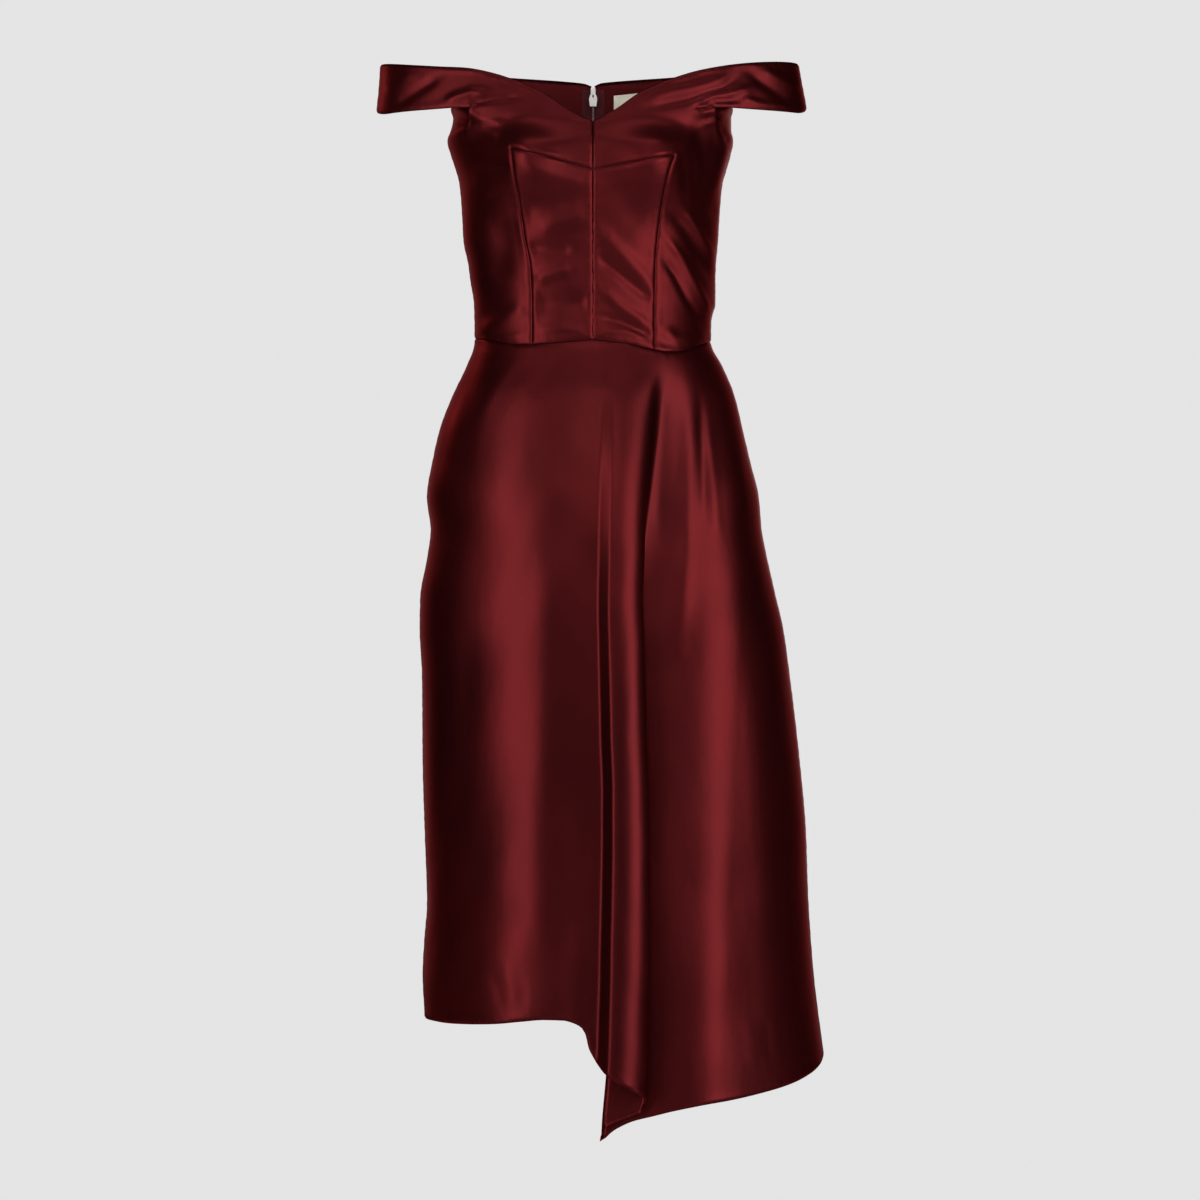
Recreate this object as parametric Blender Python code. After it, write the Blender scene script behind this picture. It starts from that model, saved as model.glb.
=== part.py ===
"""Off-the-shoulder satin midi dress, filled out as it is worn.

The front faces -Y, up is +Z and the origin is the waist's centre.
"""

import math

import bpy
import numpy as np

COLLECTION = "satin_midi_dress"

METRES = 0.001

# Sizes in millimetres.
WALL = 1.2
SEAM_HALF_GAP = 0.15
WAIST_EASE = 0.2
LAID_GAP = 0.3
HIP_EASE = 0.9

# Grid steps of the panels.
STEPS_CENTRE = 7
STEPS_BUST = 5
STEPS_UNDERARM = 5
STEPS_BAND = 9
STEPS_BACK = 10
ROWS_TO_BUST = 12
ROWS_TO_ARMHOLE = 5
ROWS_TO_NECK = 5
ROWS_SKIRT = 20
STEPS_SKIRT_LEFT = 17
STEPS_SKIRT_RIGHT = 17
STEPS_SKIRT_BACK = 18
STEPS_FOLD = (3, 9, 4, 3, 7)
STEPS_IN_FOLD_STEP = 12
POINTS_PLAIN_SECTION = 361
ZIP_ROWS = 34
LABEL_STEPS = 6
BACK_COLUMN_SPREAD = 1.15
SKIRT_ROW_SPREAD = 1.12

# Heights at which the skirt's sections are worked out: top, foot, step.
SKIRT_LEVELS = (12.0, -832.0, -4.0)
SKIRT_LENGTH = 790.0

# First guesses where a column's end is found by repeated halving, and how often that is done.
NECK_GUESS = 270.0
HEM_GUESS = -740.0
TRIES = 40

# Points within a two hundredth of a millimetre are one. The shift keeps round sizes off the rounding edge.
KEYS_PER_MM = 200.0
KEY_SHIFT = 0.0137
SHARPEST_MITRE = 0.35
SMOOTH_UNDER = math.radians(40.0)

# Body sections, hem to underarm: z, left half width, right half width, front depth, back depth, roundness.
SECTIONS = (
    (-830.0, 174.0, 244.0, 160.0, 166.0, 2.05),
    (-741.0, 174.5, 239.6, 158.0, 163.0, 2.05),
    (-701.0, 174.8, 234.5, 156.0, 160.0, 2.05),
    (-657.0, 176.8, 229.2, 154.0, 157.0, 2.05),
    (-617.0, 174.8, 226.0, 152.0, 155.0, 2.05),
    (-582.0, 172.2, 223.7, 150.0, 153.0, 2.05),
    (-506.0, 174.7, 221.0, 146.0, 149.0, 2.05),
    (-436.0, 176.8, 214.8, 142.0, 145.0, 2.10),
    (-346.0, 177.4, 204.4, 136.0, 139.0, 2.10),
    (-296.0, 179.9, 197.3, 133.0, 135.0, 2.15),
    (-264.0, 179.3, 189.8, 131.0, 133.0, 2.15),
    (-223.0, 172.0, 180.6, 128.0, 131.0, 2.20),
    (-194.0, 168.4, 175.0, 126.0, 129.0, 2.20),
    (-161.0, 172.2, 172.0, 123.0, 127.0, 2.20),
    (-120.0, 165.8, 162.2, 118.0, 122.0, 2.20),
    (-89.0, 158.6, 155.0, 113.0, 116.0, 2.20),
    (-54.0, 145.2, 146.6, 107.0, 107.0, 2.20),
    (-24.0, 131.0, 134.0, 98.5, 96.0, 2.20),
    (0.0, 122.8, 122.5, 93.0, 89.0, 2.20),
    (22.0, 122.9, 122.7, 93.0, 88.0, 2.20),
    (42.0, 123.6, 127.0, 93.5, 88.5, 2.20),
    (66.0, 127.4, 127.0, 94.5, 90.0, 2.20),
    (82.0, 129.3, 127.6, 95.5, 91.0, 2.20),
    (103.0, 134.0, 129.5, 97.5, 93.0, 2.20),
    (140.0, 136.3, 131.8, 103.0, 96.0, 2.20),
    (165.0, 138.6, 134.4, 106.0, 97.5, 2.20),
    (180.0, 142.5, 138.6, 106.5, 98.0, 2.20),
    (194.0, 147.0, 142.6, 106.0, 98.0, 2.20),
    (210.0, 151.0, 145.6, 104.0, 97.5, 2.20),
    (221.0, 147.2, 143.4, 102.0, 97.0, 2.20),
    (233.0, 145.0, 143.4, 100.0, 96.0, 2.20),
    (244.0, 149.0, 146.6, 99.0, 95.0, 2.20),
)

# Sections through chest and both sleeves: z, left half width, right half width, front depth, back depth.
WIDE_SECTIONS = (
    (228.0, 226.0, 224.5, 99.0, 93.0),
    (240.0, 225.0, 222.6, 98.0, 92.5),
    (265.0, 222.5, 218.0, 95.0, 91.0),
    (292.0, 220.8, 213.0, 91.0, 89.0),
)
WIDE_FROM = 195.0
WIDE_FULL = 235.0

# Cups: where the bust is fullest, how far it stands out and how far it spreads.
CUP_X = 74.0
CUP_Z = 178.0
CUP_OUT = 22.0
CUP_SPREAD_X = 40.0
CUP_SPREAD_Z = 40.0

# Princess seams: z, left distance from the centre, right distance.
PRINCESS = (
    (-14.0, 62.0, 62.9),
    (30.0, 61.9, 62.8),
    (74.0, 64.0, 63.5),
    (100.0, 69.0, 65.5),
    (140.0, 75.0, 71.0),
    (165.0, 80.0, 76.5),
    (190.0, 83.0, 84.2),
    (264.0, 88.0, 88.0),
)
CORNER_SHARE = 0.87

# Waist seam at the front: share of the half width, left z, right z.
WAIST = (
    (0.00, -2.1, -2.1),
    (0.12, -3.2, -3.6),
    (0.27, -4.6, -5.6),
    (0.49, -6.4, -11.0),
    (0.61, -6.3, -13.3),
    (0.72, -4.4, -12.4),
    (0.84, -1.0, -7.9),
    (1.00, 4.4, 1.0),
)
WAIST_BACK = 0.0

# Bust seam: z at the centre front, at the left princess seam and at the right one.
BUST_SEAM_CENTRE = 169.0
BUST_SEAM_LEFT = 191.3
BUST_SEAM_RIGHT = 183.6
UNDERARM_ROW = 191.0

# Front neckline: distance from the centre, left z, right z.
NECKLINE = (
    (0.0, 218.9, 218.9),
    (22.0, 229.5, 230.8),
    (50.0, 248.3, 250.3),
    (82.0, 263.2, 264.4),
    (105.0, 271.0, 272.2),
    (129.0, 276.4, 278.0),
    (158.0, 279.2, 283.2),
    (188.0, 283.0, 287.0),
    (226.0, 289.6, 291.0),
)

# Back neckline: distance from the centre, left z, right z.
BACK_NECKLINE = (
    (0.0, 278.6, 278.6),
    (3.0, 279.6, 280.2),
    (8.0, 281.6, 282.4),
    (14.0, 282.6, 283.2),
    (83.0, 286.8, 287.4),
    (140.0, 289.0, 290.0),
    (226.0, 289.6, 291.0),
)

# Lower edge of the sleeve bands: share from the armhole corner to the sleeve end, left z, right z.
BAND_EDGE_FRONT = (
    (0.0, 235.5, 235.5),
    (0.3, 234.6, 234.8),
    (0.65, 234.4, 235.4),
    (1.0, 239.8, 243.0),
)
BAND_EDGE_BACK = (
    (0.0, 254.0, 254.0),
    (0.3, 253.0, 253.0),
    (0.65, 249.5, 250.5),
    (1.0, 239.8, 243.0),
)
UNDERARM_SIDE = 243.0

# Hem of the front skirt up to the fold's crest: x, z.
HEM_LEFT = (
    (-175.0, -700.0),
    (-164.0, -698.6),
    (-153.0, -698.2),
    (-131.0, -696.6),
    (-98.0, -693.3),
    (-71.0, -689.7),
    (-48.0, -687.6),
    (-30.0, -687.8),
    (-19.0, -690.4),
    (-11.0, -695.0),
    (-7.5, -701.0),
    (-4.2, -714.6),
    (0.3, -723.6),
    (6.2, -733.5),
    (13.0, -740.5),
    (21.0, -746.0),
    (33.0, -752.0),
    (42.0, -757.8),
    (50.0, -763.0),
    (58.0, -767.0),
)

# Hem of the layer that turns back under the fold: share from crest to valley, z.
HEM_TURNED = (
    (0.0, -767.0),
    (0.5, -787.0),
    (0.9, -807.0),
    (1.0, -811.0),
)

# Hem of the front skirt from the fold's valley to the right side: x, z.
HEM_RIGHT = (
    (5.0, -812.0),
    (12.5, -807.9),
    (19.5, -801.4),
    (28.5, -796.0),
    (40.5, -790.7),
    (60.0, -785.5),
    (82.5, -779.7),
    (117.0, -773.2),
    (140.5, -770.3),
    (167.0, -766.3),
    (201.0, -759.6),
    (222.0, -752.8),
    (235.0, -745.9),
    (239.6, -741.0),
)
HEM_SIDE_LEFT = -700.0
HEM_SIDE_RIGHT = -741.0
HEM_BACK = -719.0

# The deep fold by height: z, x of its right edge, how far it has formed, length of the turned layer.
FOLD = (
    (-830.0, 52.5, 1.00, 35.0),
    (-786.0, 53.6, 1.00, 33.0),
    (-727.0, 55.5, 1.00, 30.0),
    (-657.0, 55.8, 1.00, 26.0),
    (-566.0, 55.7, 1.00, 21.0),
    (-466.0, 55.0, 0.98, 15.0),
    (-406.0, 53.0, 0.94, 11.0),
    (-346.0, 51.5, 0.88, 8.0),
    (-274.0, 50.6, 0.78, 4.5),
    (-192.0, 52.6, 0.60, 2.5),
    (-130.0, 54.7, 0.42, 2.0),
    (-68.0, 56.5, 0.20, 2.0),
    (-16.0, 57.0, 0.00, 2.0),
    (20.0, 57.0, 0.00, 2.0),
)

# Parts of the fold along the cloth: length at the waist, at the hem, heading at its start and end in degrees.
FOLD_PARTS = (
    (12.0, 17.0, 0.0, 55.0),
    (44.0, 70.0, 55.0, -90.0),
    (8.0, 9.5, -90.0, -175.0),
    (0.0, 0.0, -175.0, -175.0),
    (12.0, 15.5, -175.0, 0.0),
)
FOLD_LIFT = 0.08
FOLD_RISE_LENGTH = 80.0
FOLD_FALL_LENGTH = 112.0

# Soft folds of the skirt front: x at the hem, share of it at the waist, height, half width, growth.
FRONT_FOLDS = (
    (-88.0, 0.80, 5.0, 34.0, 1.0),
    (-34.0, 0.80, -5.0, 26.0, 1.0),
    (118.0, 0.80, 7.5, 30.0, 0.7),
    (172.0, 0.66, -5.0, 26.0, 0.9),
)

# Soft folds of the skirt back: x at the hem, share of it at the waist, height, half width, growth.
BACK_FOLDS = (
    (-132.0, 0.66, 9.0, 30.0, 1.3),
    (-92.0, 0.66, -8.0, 26.0, 1.3),
    (-46.0, 0.66, 10.0, 28.0, 1.4),
    (8.0, 0.66, -9.0, 28.0, 1.5),
    (62.0, 0.66, 11.0, 30.0, 1.4),
    (118.0, 0.66, -8.0, 28.0, 1.3),
    (172.0, 0.66, 9.0, 30.0, 1.3),
)
FOLDS_START = -40.0
FOLDS_FULL = -790.0

# How far from a side seam, the deep fold and the zip the soft folds are still fading in.
FADE_FRONT_SEAM = 45.0
FADE_BACK_SEAM = 50.0
FADE_CREST = 30.0
FADE_VALLEY = 45.0
FADE_ZIP = 24.0
ZIP_STIFF_TO = -170.0
ZIP_SOFT_FROM = -320.0

# Pocket mouths in the side seams, and the facing that closes each from inside.
POCKET_TOP = -62.0
POCKET_FOOT = -193.0
POCKET_GAPE = 5.0
GAPE_FRONT = 0.75
GAPE_BACK = 0.25
GAPE_LOW = 1.5
FACING_TOP = -40.0
FACING_FOOT = -222.0
FACING_WALL = 1.0

# Zip at the centre back.
ZIP_TOP = 275.0
ZIP_FOOT = -150.0
TAPE_WALL = 1.0
TAPE_WIDTH = 12.0
TAPE_HALF_GAP = 0.35
COIL_HALF = 1.85
COIL_WALL = 1.2
COIL_FROM_SLIDER = 0.4
COIL_FROM_FOOT = 3.0
SLIDER_TOP = 278.5
SLIDER_FOOT = 270.5
SLIDER_DEPTH = 3.2
PULL_TOP = 271.6
PULL_LENGTH = 14.6
PULL_THICK = 1.2
PULL_GAP = 0.4
PULL_HINGE_Z = 271.0
HOLE_AT = 0.26
HOLE_HALF_WIDTH = 1.0
HOLE_HALF_HEIGHT = 1.7

# Slider from its foot to its top: share of the height, half width, how much thinner on the inner side.
SLIDER = (
    (0.0, 2.2, 0.8),
    (0.12, 2.7, 0.2),
    (0.55, 2.7, 0.0),
    (0.80, 2.3, 0.1),
    (1.0, 1.5, 0.9),
)
SLIDER_CORNER = 0.3

# Pull tab from its top to its foot: share of the length, half width.
PULL = (
    (0.0, 1.5),
    (0.10, 2.4),
    (0.26, 3.6),
    (0.42, 4.25),
    (0.55, 4.25),
    (0.72, 3.85),
    (0.86, 3.55),
    (0.96, 3.5),
    (1.0, 3.1),
)

# Label inside the back neck, blank.
LABEL_X = (22.0, 70.0)
LABEL_TOP = (269.0, 273.5)
LABEL_HEIGHT = 30.0
LABEL_WALL = 1.0

SATIN = (0.13, 0.012, 0.016, 1.0)
TAPE_COLOUR = (0.05, 0.006, 0.010, 1.0)
COIL_COLOUR = (0.16, 0.07, 0.09, 1.0)
SLIDER_COLOUR = (0.62, 0.58, 0.56, 1.0)
PULL_COLOUR = (0.85, 0.83, 0.82, 1.0)
LABEL_COLOUR = (0.82, 0.76, 0.66, 1.0)

# A point that lies inside of everything laid on the back.
INSIDE_BACK = (0.0, -400.0, 0.0)
CENTRE = (0.0, 0.0, 0.0)
LEFT = -1.0
RIGHT = 1.0


def through(rows, column, at):
    """A smooth curve through one column of a table, which never overshoots its rows."""
    table = np.array(rows, float)
    xs = table[:, 0]
    ys = table[:, column]
    at = np.clip(np.asarray(at, float), xs[0], xs[-1])
    gaps = np.diff(xs)
    slopes = np.diff(ys) / gaps
    ends = np.zeros(len(xs))
    ends[0] = slopes[0]
    ends[-1] = slopes[-1]
    same = slopes[:-1] * slopes[1:] > 0
    low = 2 * gaps[1:] + gaps[:-1]
    high = gaps[1:] + 2 * gaps[:-1]
    safe = np.where(same, slopes[:-1] * slopes[1:], 1.0)
    mean = (low + high) * safe / (low * slopes[1:] + high * slopes[:-1] + np.where(same, 0.0, 1e9))
    ends[1:-1] = np.where(same, mean, 0.0)
    k = np.clip(np.searchsorted(xs, at, side="right") - 1, 0, len(gaps) - 1)
    t = (at - xs[k]) / gaps[k]
    value = ys[k] * (1 + 2 * t) * (1 - t) ** 2
    value = value + ends[k] * gaps[k] * t * (1 - t) ** 2
    value = value + ys[k + 1] * t * t * (3 - 2 * t)
    return value + ends[k + 1] * gaps[k] * t * t * (t - 1)


def rise(start, full, at):
    """0 before start, 1 after full, smooth between, in either direction."""
    t = np.clip((np.asarray(at, float) - start) / (full - start), 0.0, 1.0)
    return t * t * (3 - 2 * t)


def side_column(side):
    return 1 if side < 0 else 2


def half_width(side, z):
    return through(SECTIONS, side_column(side), z)


def depth_of(front, z):
    return through(SECTIONS, 3 if front else 4, z)


def torso_point(side, front, angle, z):
    """A point of the body section at this height. The angle runs from the centre, 0, to the side seam."""
    n = through(SECTIONS, 5, z)
    x = half_width(side, z) * math.sin(angle) ** (2 / n)
    y = depth_of(front, z) * max(math.cos(angle), 0.0) ** (2 / n)
    if front:
        spread = ((x - CUP_X) / CUP_SPREAD_X) ** 2 + ((z - CUP_Z) / CUP_SPREAD_Z) ** 2
        y += CUP_OUT * math.exp(-spread) * (1 - (x / half_width(side, z)) ** 4)
    return x, y


def wide_depth(side, front, x, z):
    """How far the section through chest and sleeves stands out at this distance from the centre."""
    width = through(WIDE_SECTIONS, side_column(side), z)
    depth = through(WIDE_SECTIONS, 3 if front else 4, z)
    return depth * math.sqrt(max(0.0, 1 - (x / width) ** 2))


def angle_at(side, x, z):
    n = through(SECTIONS, 5, z)
    return math.asin(min(1.0, x / half_width(side, z)) ** (n / 2))


def corner_angle(side, z):
    return angle_at(side, CORNER_SHARE * half_width(side, z), z)


def body_point(side, front, angle, z):
    """A point of the bodice inside the armhole corner, blended from body section to chest section."""
    x, y = torso_point(side, front, angle, z)
    share = rise(WIDE_FROM, WIDE_FULL, z)
    y = (1 - share) * y + share * wide_depth(side, front, x, z)
    return np.array((side * x, -y if front else y, float(z)))


def underarm_point(side, front, share, z):
    """A point between the armhole corner, share 0, and the side seam, share 1."""
    corner = corner_angle(side, z)
    x, y = torso_point(side, front, corner + (math.pi / 2 - corner) * share, z)
    corner_x, corner_y = torso_point(side, front, corner, z)
    pulled = rise(WIDE_FROM, WIDE_FULL, z) * (wide_depth(side, front, corner_x, z) - corner_y)
    y += pulled * (1 - share) ** 2 * (1 + 2 * share)
    if share == 1.0:
        y = 0.0
    return np.array((side * x, -y if front else y, float(z)))


def band_point(side, front, share, z):
    """A point of the sleeve band between the armhole corner, share 0, and the sleeve end, share 1."""
    width = through(WIDE_SECTIONS, side_column(side), z)
    x = torso_point(side, front, corner_angle(side, z), z)[0]
    start = math.asin(min(1.0, x / width))
    angle = start + (math.pi / 2 - start) * share
    x = width * math.sin(angle)
    y = wide_depth(side, front, x, z)
    if share == 1.0:
        y = 0.0
    return np.array((side * x, -y if front else y, float(z)))


def waist_z(side, front, share):
    if front:
        return through(WAIST, side_column(side), share)
    edge = WAIST[-1][side_column(side)]
    return WAIST_BACK + (edge - WAIST_BACK) * share ** 3


def neck_z(side, front, x):
    return through(NECKLINE if front else BACK_NECKLINE, side_column(side), abs(x))


def spaced(low, high, count):
    return [low + (high - low) * i / count for i in range(count + 1)]


def column_heights(foot, bust, armhole, neck):
    """Heights of one column's points from waist to neckline, in three runs that meet."""
    heights = spaced(foot, bust, ROWS_TO_BUST)
    heights += spaced(bust, armhole, ROWS_TO_ARMHOLE)[1:]
    if neck is not None:
        heights += spaced(armhole, neck, ROWS_TO_NECK)[1:]
    return heights


def princess_angle(side, z):
    return angle_at(side, through(PRINCESS, side_column(side), z), z)


def centre_angle(side, share, z):
    return angle_at(side, through(PRINCESS, side_column(side), z) * share, z)


def bust_angle(side, share, z):
    low = princess_angle(side, z)
    return low + (corner_angle(side, z) - low) * share


def back_angle(side, share, z):
    return corner_angle(side, z) * share


def neck_height(side, front, angle_of, share):
    """Where this column meets the neckline: height and distance are found together."""
    z = NECK_GUESS
    for _ in range(TRIES):
        x = torso_point(side, front, angle_of(side, share, z), z)[0]
        z = 0.5 * z + 0.5 * float(neck_z(side, front, x))
    return z


def waist_height(side, front, angle_of, share):
    z = 0.0
    for _ in range(TRIES):
        x = torso_point(side, front, angle_of(side, share, z), z)[0]
        z = 0.5 * z + 0.5 * float(waist_z(side, front, x / half_width(side, z)))
    return z


def bust_seam_z(side, share):
    edge = BUST_SEAM_LEFT if side < 0 else BUST_SEAM_RIGHT
    return BUST_SEAM_CENTRE + (edge - BUST_SEAM_CENTRE) * share


def inner_patch(side, front, angle_of, shares, bust_of, armhole_of):
    """Columns from waist to neckline, as an array of rows, columns and coordinates."""
    columns = []
    for share in shares:
        foot = waist_height(side, front, angle_of, share)
        neck = neck_height(side, front, angle_of, share)
        heights = column_heights(foot, bust_of(share), armhole_of(share, neck), neck)
        columns.append([body_point(side, front, angle_of(side, share, z), z) for z in heights])
    return np.array(columns).transpose(1, 0, 2)


def side_armhole(front, share):
    corner = (BAND_EDGE_FRONT if front else BAND_EDGE_BACK)[0][1]
    return corner + (UNDERARM_SIDE - corner) * share * share * (3 - 2 * share)


def underarm_patch(side, front):
    columns = []
    for share in spaced(0.0, 1.0, STEPS_UNDERARM):
        def angle_of(s, part, z):
            corner = corner_angle(s, z)
            return corner + (math.pi / 2 - corner) * part
        foot = waist_height(side, front, angle_of, share)
        heights = column_heights(foot, UNDERARM_ROW, side_armhole(front, share), None)
        columns.append([underarm_point(side, front, share, z) for z in heights])
    return np.array(columns).transpose(1, 0, 2)


def band_patch(side, front):
    columns = []
    for share in spaced(0.0, 1.0, STEPS_BAND):
        edge = BAND_EDGE_FRONT if front else BAND_EDGE_BACK
        foot = float(through(edge, side_column(side), share))
        z = NECK_GUESS
        for _ in range(TRIES):
            x = band_point(side, front, share, z)[0]
            z = 0.5 * z + 0.5 * float(neck_z(side, front, x))
        heights = spaced(foot, z, ROWS_TO_NECK)
        columns.append([band_point(side, front, share, h) for h in heights])
    return np.array(columns).transpose(1, 0, 2)


def front_armhole(side, share, neck):
    """Height of the armhole row at a bust column, share 0 at the princess seam."""
    seam_end = bust_seam_z(side, 1.0)
    at_princess = seam_end + 0.5 * (neck - seam_end)
    return at_princess + (BAND_EDGE_FRONT[0][1] - at_princess) * share


def back_armhole(share, neck):
    """Height of the armhole row at a back column, share 0 at the zip."""
    at_centre = UNDERARM_ROW + 0.5 * (neck - UNDERARM_ROW)
    return at_centre + (BAND_EDGE_BACK[0][1] - at_centre) * share


def front_patches(side):
    """Patches of the front: the centre panel, and the side panel with its upper part and sleeve band."""
    seam_end = bust_seam_z(side, 1.0)
    centre = inner_patch(
        side,
        True,
        centre_angle,
        spaced(0.0, 1.0, STEPS_CENTRE),
        lambda share: bust_seam_z(side, share),
        lambda share, neck: bust_seam_z(side, share) + 0.5 * (neck - bust_seam_z(side, share)),
    )
    bust = inner_patch(
        side,
        True,
        bust_angle,
        spaced(0.0, 1.0, STEPS_BUST),
        lambda share: seam_end + (UNDERARM_ROW - seam_end) * share,
        lambda share, neck: front_armhole(side, share, neck),
    )
    lower = centre[: ROWS_TO_BUST + 1]
    upper = centre[ROWS_TO_BUST:]
    return [lower], [upper, bust, underarm_patch(side, True), band_patch(side, True)]


def back_patches(side):
    body = inner_patch(
        side,
        False,
        back_angle,
        [share ** BACK_COLUMN_SPREAD for share in spaced(0.0, 1.0, STEPS_BACK)],
        lambda share: UNDERARM_ROW,
        back_armhole,
    )
    return [body, underarm_patch(side, False), band_patch(side, False)]


def base_curve(front, z):
    """The plain section of the skirt at this height, left to right: points, outward directions, run."""
    angles = np.linspace(-math.pi / 2, math.pi / 2, POINTS_PLAIN_SECTION)
    n = float(through(SECTIONS, 5, z))
    widths = np.where(angles < 0, half_width(LEFT, z), half_width(RIGHT, z))
    x = widths * np.sign(angles) * np.abs(np.sin(angles)) ** (2 / n)
    y = depth_of(front, z) * np.abs(np.cos(angles)) ** (2 / n)
    y[0] = 0.0
    y[-1] = 0.0
    points = np.stack([x, -y if front else y], axis=1)
    steps = np.gradient(points, axis=0)
    steps /= np.linalg.norm(steps, axis=1)[:, None]
    out = np.stack([steps[:, 1], -steps[:, 0]], axis=1)
    if not front:
        out = -out
    run = np.concatenate([[0.0], np.cumsum(np.linalg.norm(np.diff(points, axis=0), axis=1))])
    return points, out, run


def along(curve, run):
    points, out, runs = curve
    place = np.stack([np.interp(run, runs, points[:, k]) for k in (0, 1)], axis=1)
    away = np.stack([np.interp(run, runs, out[:, k]) for k in (0, 1)], axis=1)
    return place, away / np.linalg.norm(away, axis=1)[:, None]


def soft_folds(rows, x, z):
    """How far the skirt's soft folds stand out at these places of the plain section."""
    total = np.zeros(len(x))
    grown = min(1.0, max(0.0, (FOLDS_START - z) / (FOLDS_START - FOLDS_FULL)))
    for centre, at_waist, height, half, growth in rows:
        spread = at_waist + (1 - at_waist) * min(1.0, max(0.0, -z / SKIRT_LENGTH))
        total += height * grown ** growth * np.exp(-(((x - centre * spread) / (half * spread)) ** 2))
    return total


def fold_path(z):
    """The deep fold at this height in the plane of run and height above the plain section, by columns."""
    down = min(1.0, max(0.0, -z / SKIRT_LENGTH))
    formed = float(through(FOLD, 2, z))
    run = [0.0]
    height = [0.0]
    marks = [0]
    for part, steps in zip(FOLD_PARTS, STEPS_FOLD):
        length = part[0] + (part[1] - part[0]) * down
        if length == 0.0:
            length = float(through(FOLD, 3, z))
        count = steps * STEPS_IN_FOLD_STEP
        for i in range(count):
            heading = math.radians(part[2] + (part[3] - part[2]) * (i + 0.5) / count) * formed
            run.append(run[-1] + length / count * math.cos(heading))
            height.append(height[-1] + length / count * math.sin(heading))
        marks += [marks[-1] + STEPS_IN_FOLD_STEP * (k + 1) for k in range(steps)]
    run = np.array(run)[marks]
    height = np.array(height)[marks]
    crest = STEPS_FOLD[0] + STEPS_FOLD[1]
    return run, height, crest


def skirt_front_section(z):
    """Every column of the skirt front at this height, from the left side seam to the right one."""
    curve = base_curve(True, z)
    points, _, runs = curve
    fold_run, fold_height, crest = fold_path(z)
    lift = -FOLD_LIFT * fold_height[-1]
    edge = float(through(FOLD, 1, z))
    target = edge
    for _ in range(TRIES):
        start = float(np.interp(target, points[:, 0], runs)) - fold_run[crest]
        place, away = along(curve, np.array([start + fold_run[crest]]))
        found = place[0, 0] + away[0, 0] * (lift + fold_height[crest])
        target += edge - found
    before = np.array(spaced(0.0, start, STEPS_SKIRT_LEFT))
    end = start + fold_run[-1]
    after = np.array(spaced(end, float(runs[-1]), STEPS_SKIRT_RIGHT))
    rise_length = min(FOLD_RISE_LENGTH, start)
    fall_length = min(FOLD_FALL_LENGTH, float(runs[-1]) - end)
    left = lift * rise(start - rise_length, start, before)
    x_left = np.interp(before, runs, points[:, 0])
    at_seam = rise(0.0, FADE_FRONT_SEAM, before)
    at_crest = 1 - rise(start - FADE_CREST, start, before)
    left = left + soft_folds(FRONT_FOLDS, x_left, z) * at_crest * at_seam
    right = (lift + fold_height[-1]) * (1 - rise(end, end + fall_length, after))
    x_right = np.interp(after, runs, points[:, 0])
    at_seam = 1 - rise(float(runs[-1]) - FADE_FRONT_SEAM, float(runs[-1]), after)
    at_valley = rise(end, end + FADE_VALLEY, after)
    right = right + soft_folds(FRONT_FOLDS, x_right, z) * at_valley * at_seam
    run = np.concatenate([before, start + fold_run[1:-1], after])
    height = np.concatenate([left, lift + fold_height[1:-1], right])
    place, away = along(curve, run)
    return place + away * height[:, None]


def skirt_back_section(z):
    """Every column of the skirt back at this height, left to right; the middle one is the zip's line."""
    curve = base_curve(False, z)
    points, _, runs = curve
    middle = float(np.interp(0.0, points[:, 0], runs))
    last = float(runs[-1])
    run = np.array(spaced(0.0, middle, STEPS_SKIRT_BACK) + spaced(middle, last, STEPS_SKIRT_BACK)[1:])
    place, away = along(curve, run)
    at_seams = rise(0.0, FADE_BACK_SEAM, run) * (1 - rise(last - FADE_BACK_SEAM, last, run))
    from_zip = rise(0.0, FADE_ZIP, np.abs(run - middle))
    at_zip = from_zip + (1 - from_zip) * rise(ZIP_STIFF_TO, ZIP_SOFT_FROM, z)
    height = soft_folds(BACK_FOLDS, place[:, 0], z) * at_seams * at_zip
    return place + away * height[:, None]


def section_table(section):
    levels = np.arange(*SKIRT_LEVELS)
    return levels, np.array([section(float(z)) for z in levels])


def at_height(table, column, z):
    levels, sections = table
    return np.array([np.interp(z, levels[::-1], sections[::-1, column, k]) for k in (0, 1)])


def skirt_rows():
    return [(i / ROWS_SKIRT) ** SKIRT_ROW_SPREAD for i in range(ROWS_SKIRT + 1)]


def waist_line(patches):
    """The bodice's lower edge as turn about the centre and height, so that the skirt meets the same edge."""
    feet = np.concatenate([patch[0] for patch in patches])
    turn = np.arctan2(feet[:, 0], np.abs(feet[:, 1]))
    order = np.argsort(turn)
    return turn[order], feet[order, 2]


def waist_on(line, place):
    return float(np.interp(math.atan2(place[0], abs(place[1])), line[0], line[1])) - WAIST_EASE


def front_hem(table, column, crest, valley):
    """Height of the hem at this column, on the layer that the column belongs to."""
    if column == 0:
        return HEM_SIDE_LEFT
    if column == table[1].shape[1] - 1:
        return HEM_SIDE_RIGHT
    if crest < column < valley:
        return float(through(HEM_TURNED, 1, (column - crest) / (valley - crest)))
    z = HEM_GUESS
    for _ in range(TRIES):
        x = at_height(table, column, z)[0]
        z = 0.5 * z + 0.5 * float(through(HEM_LEFT if column <= crest else HEM_RIGHT, 1, x))
    return z


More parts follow.
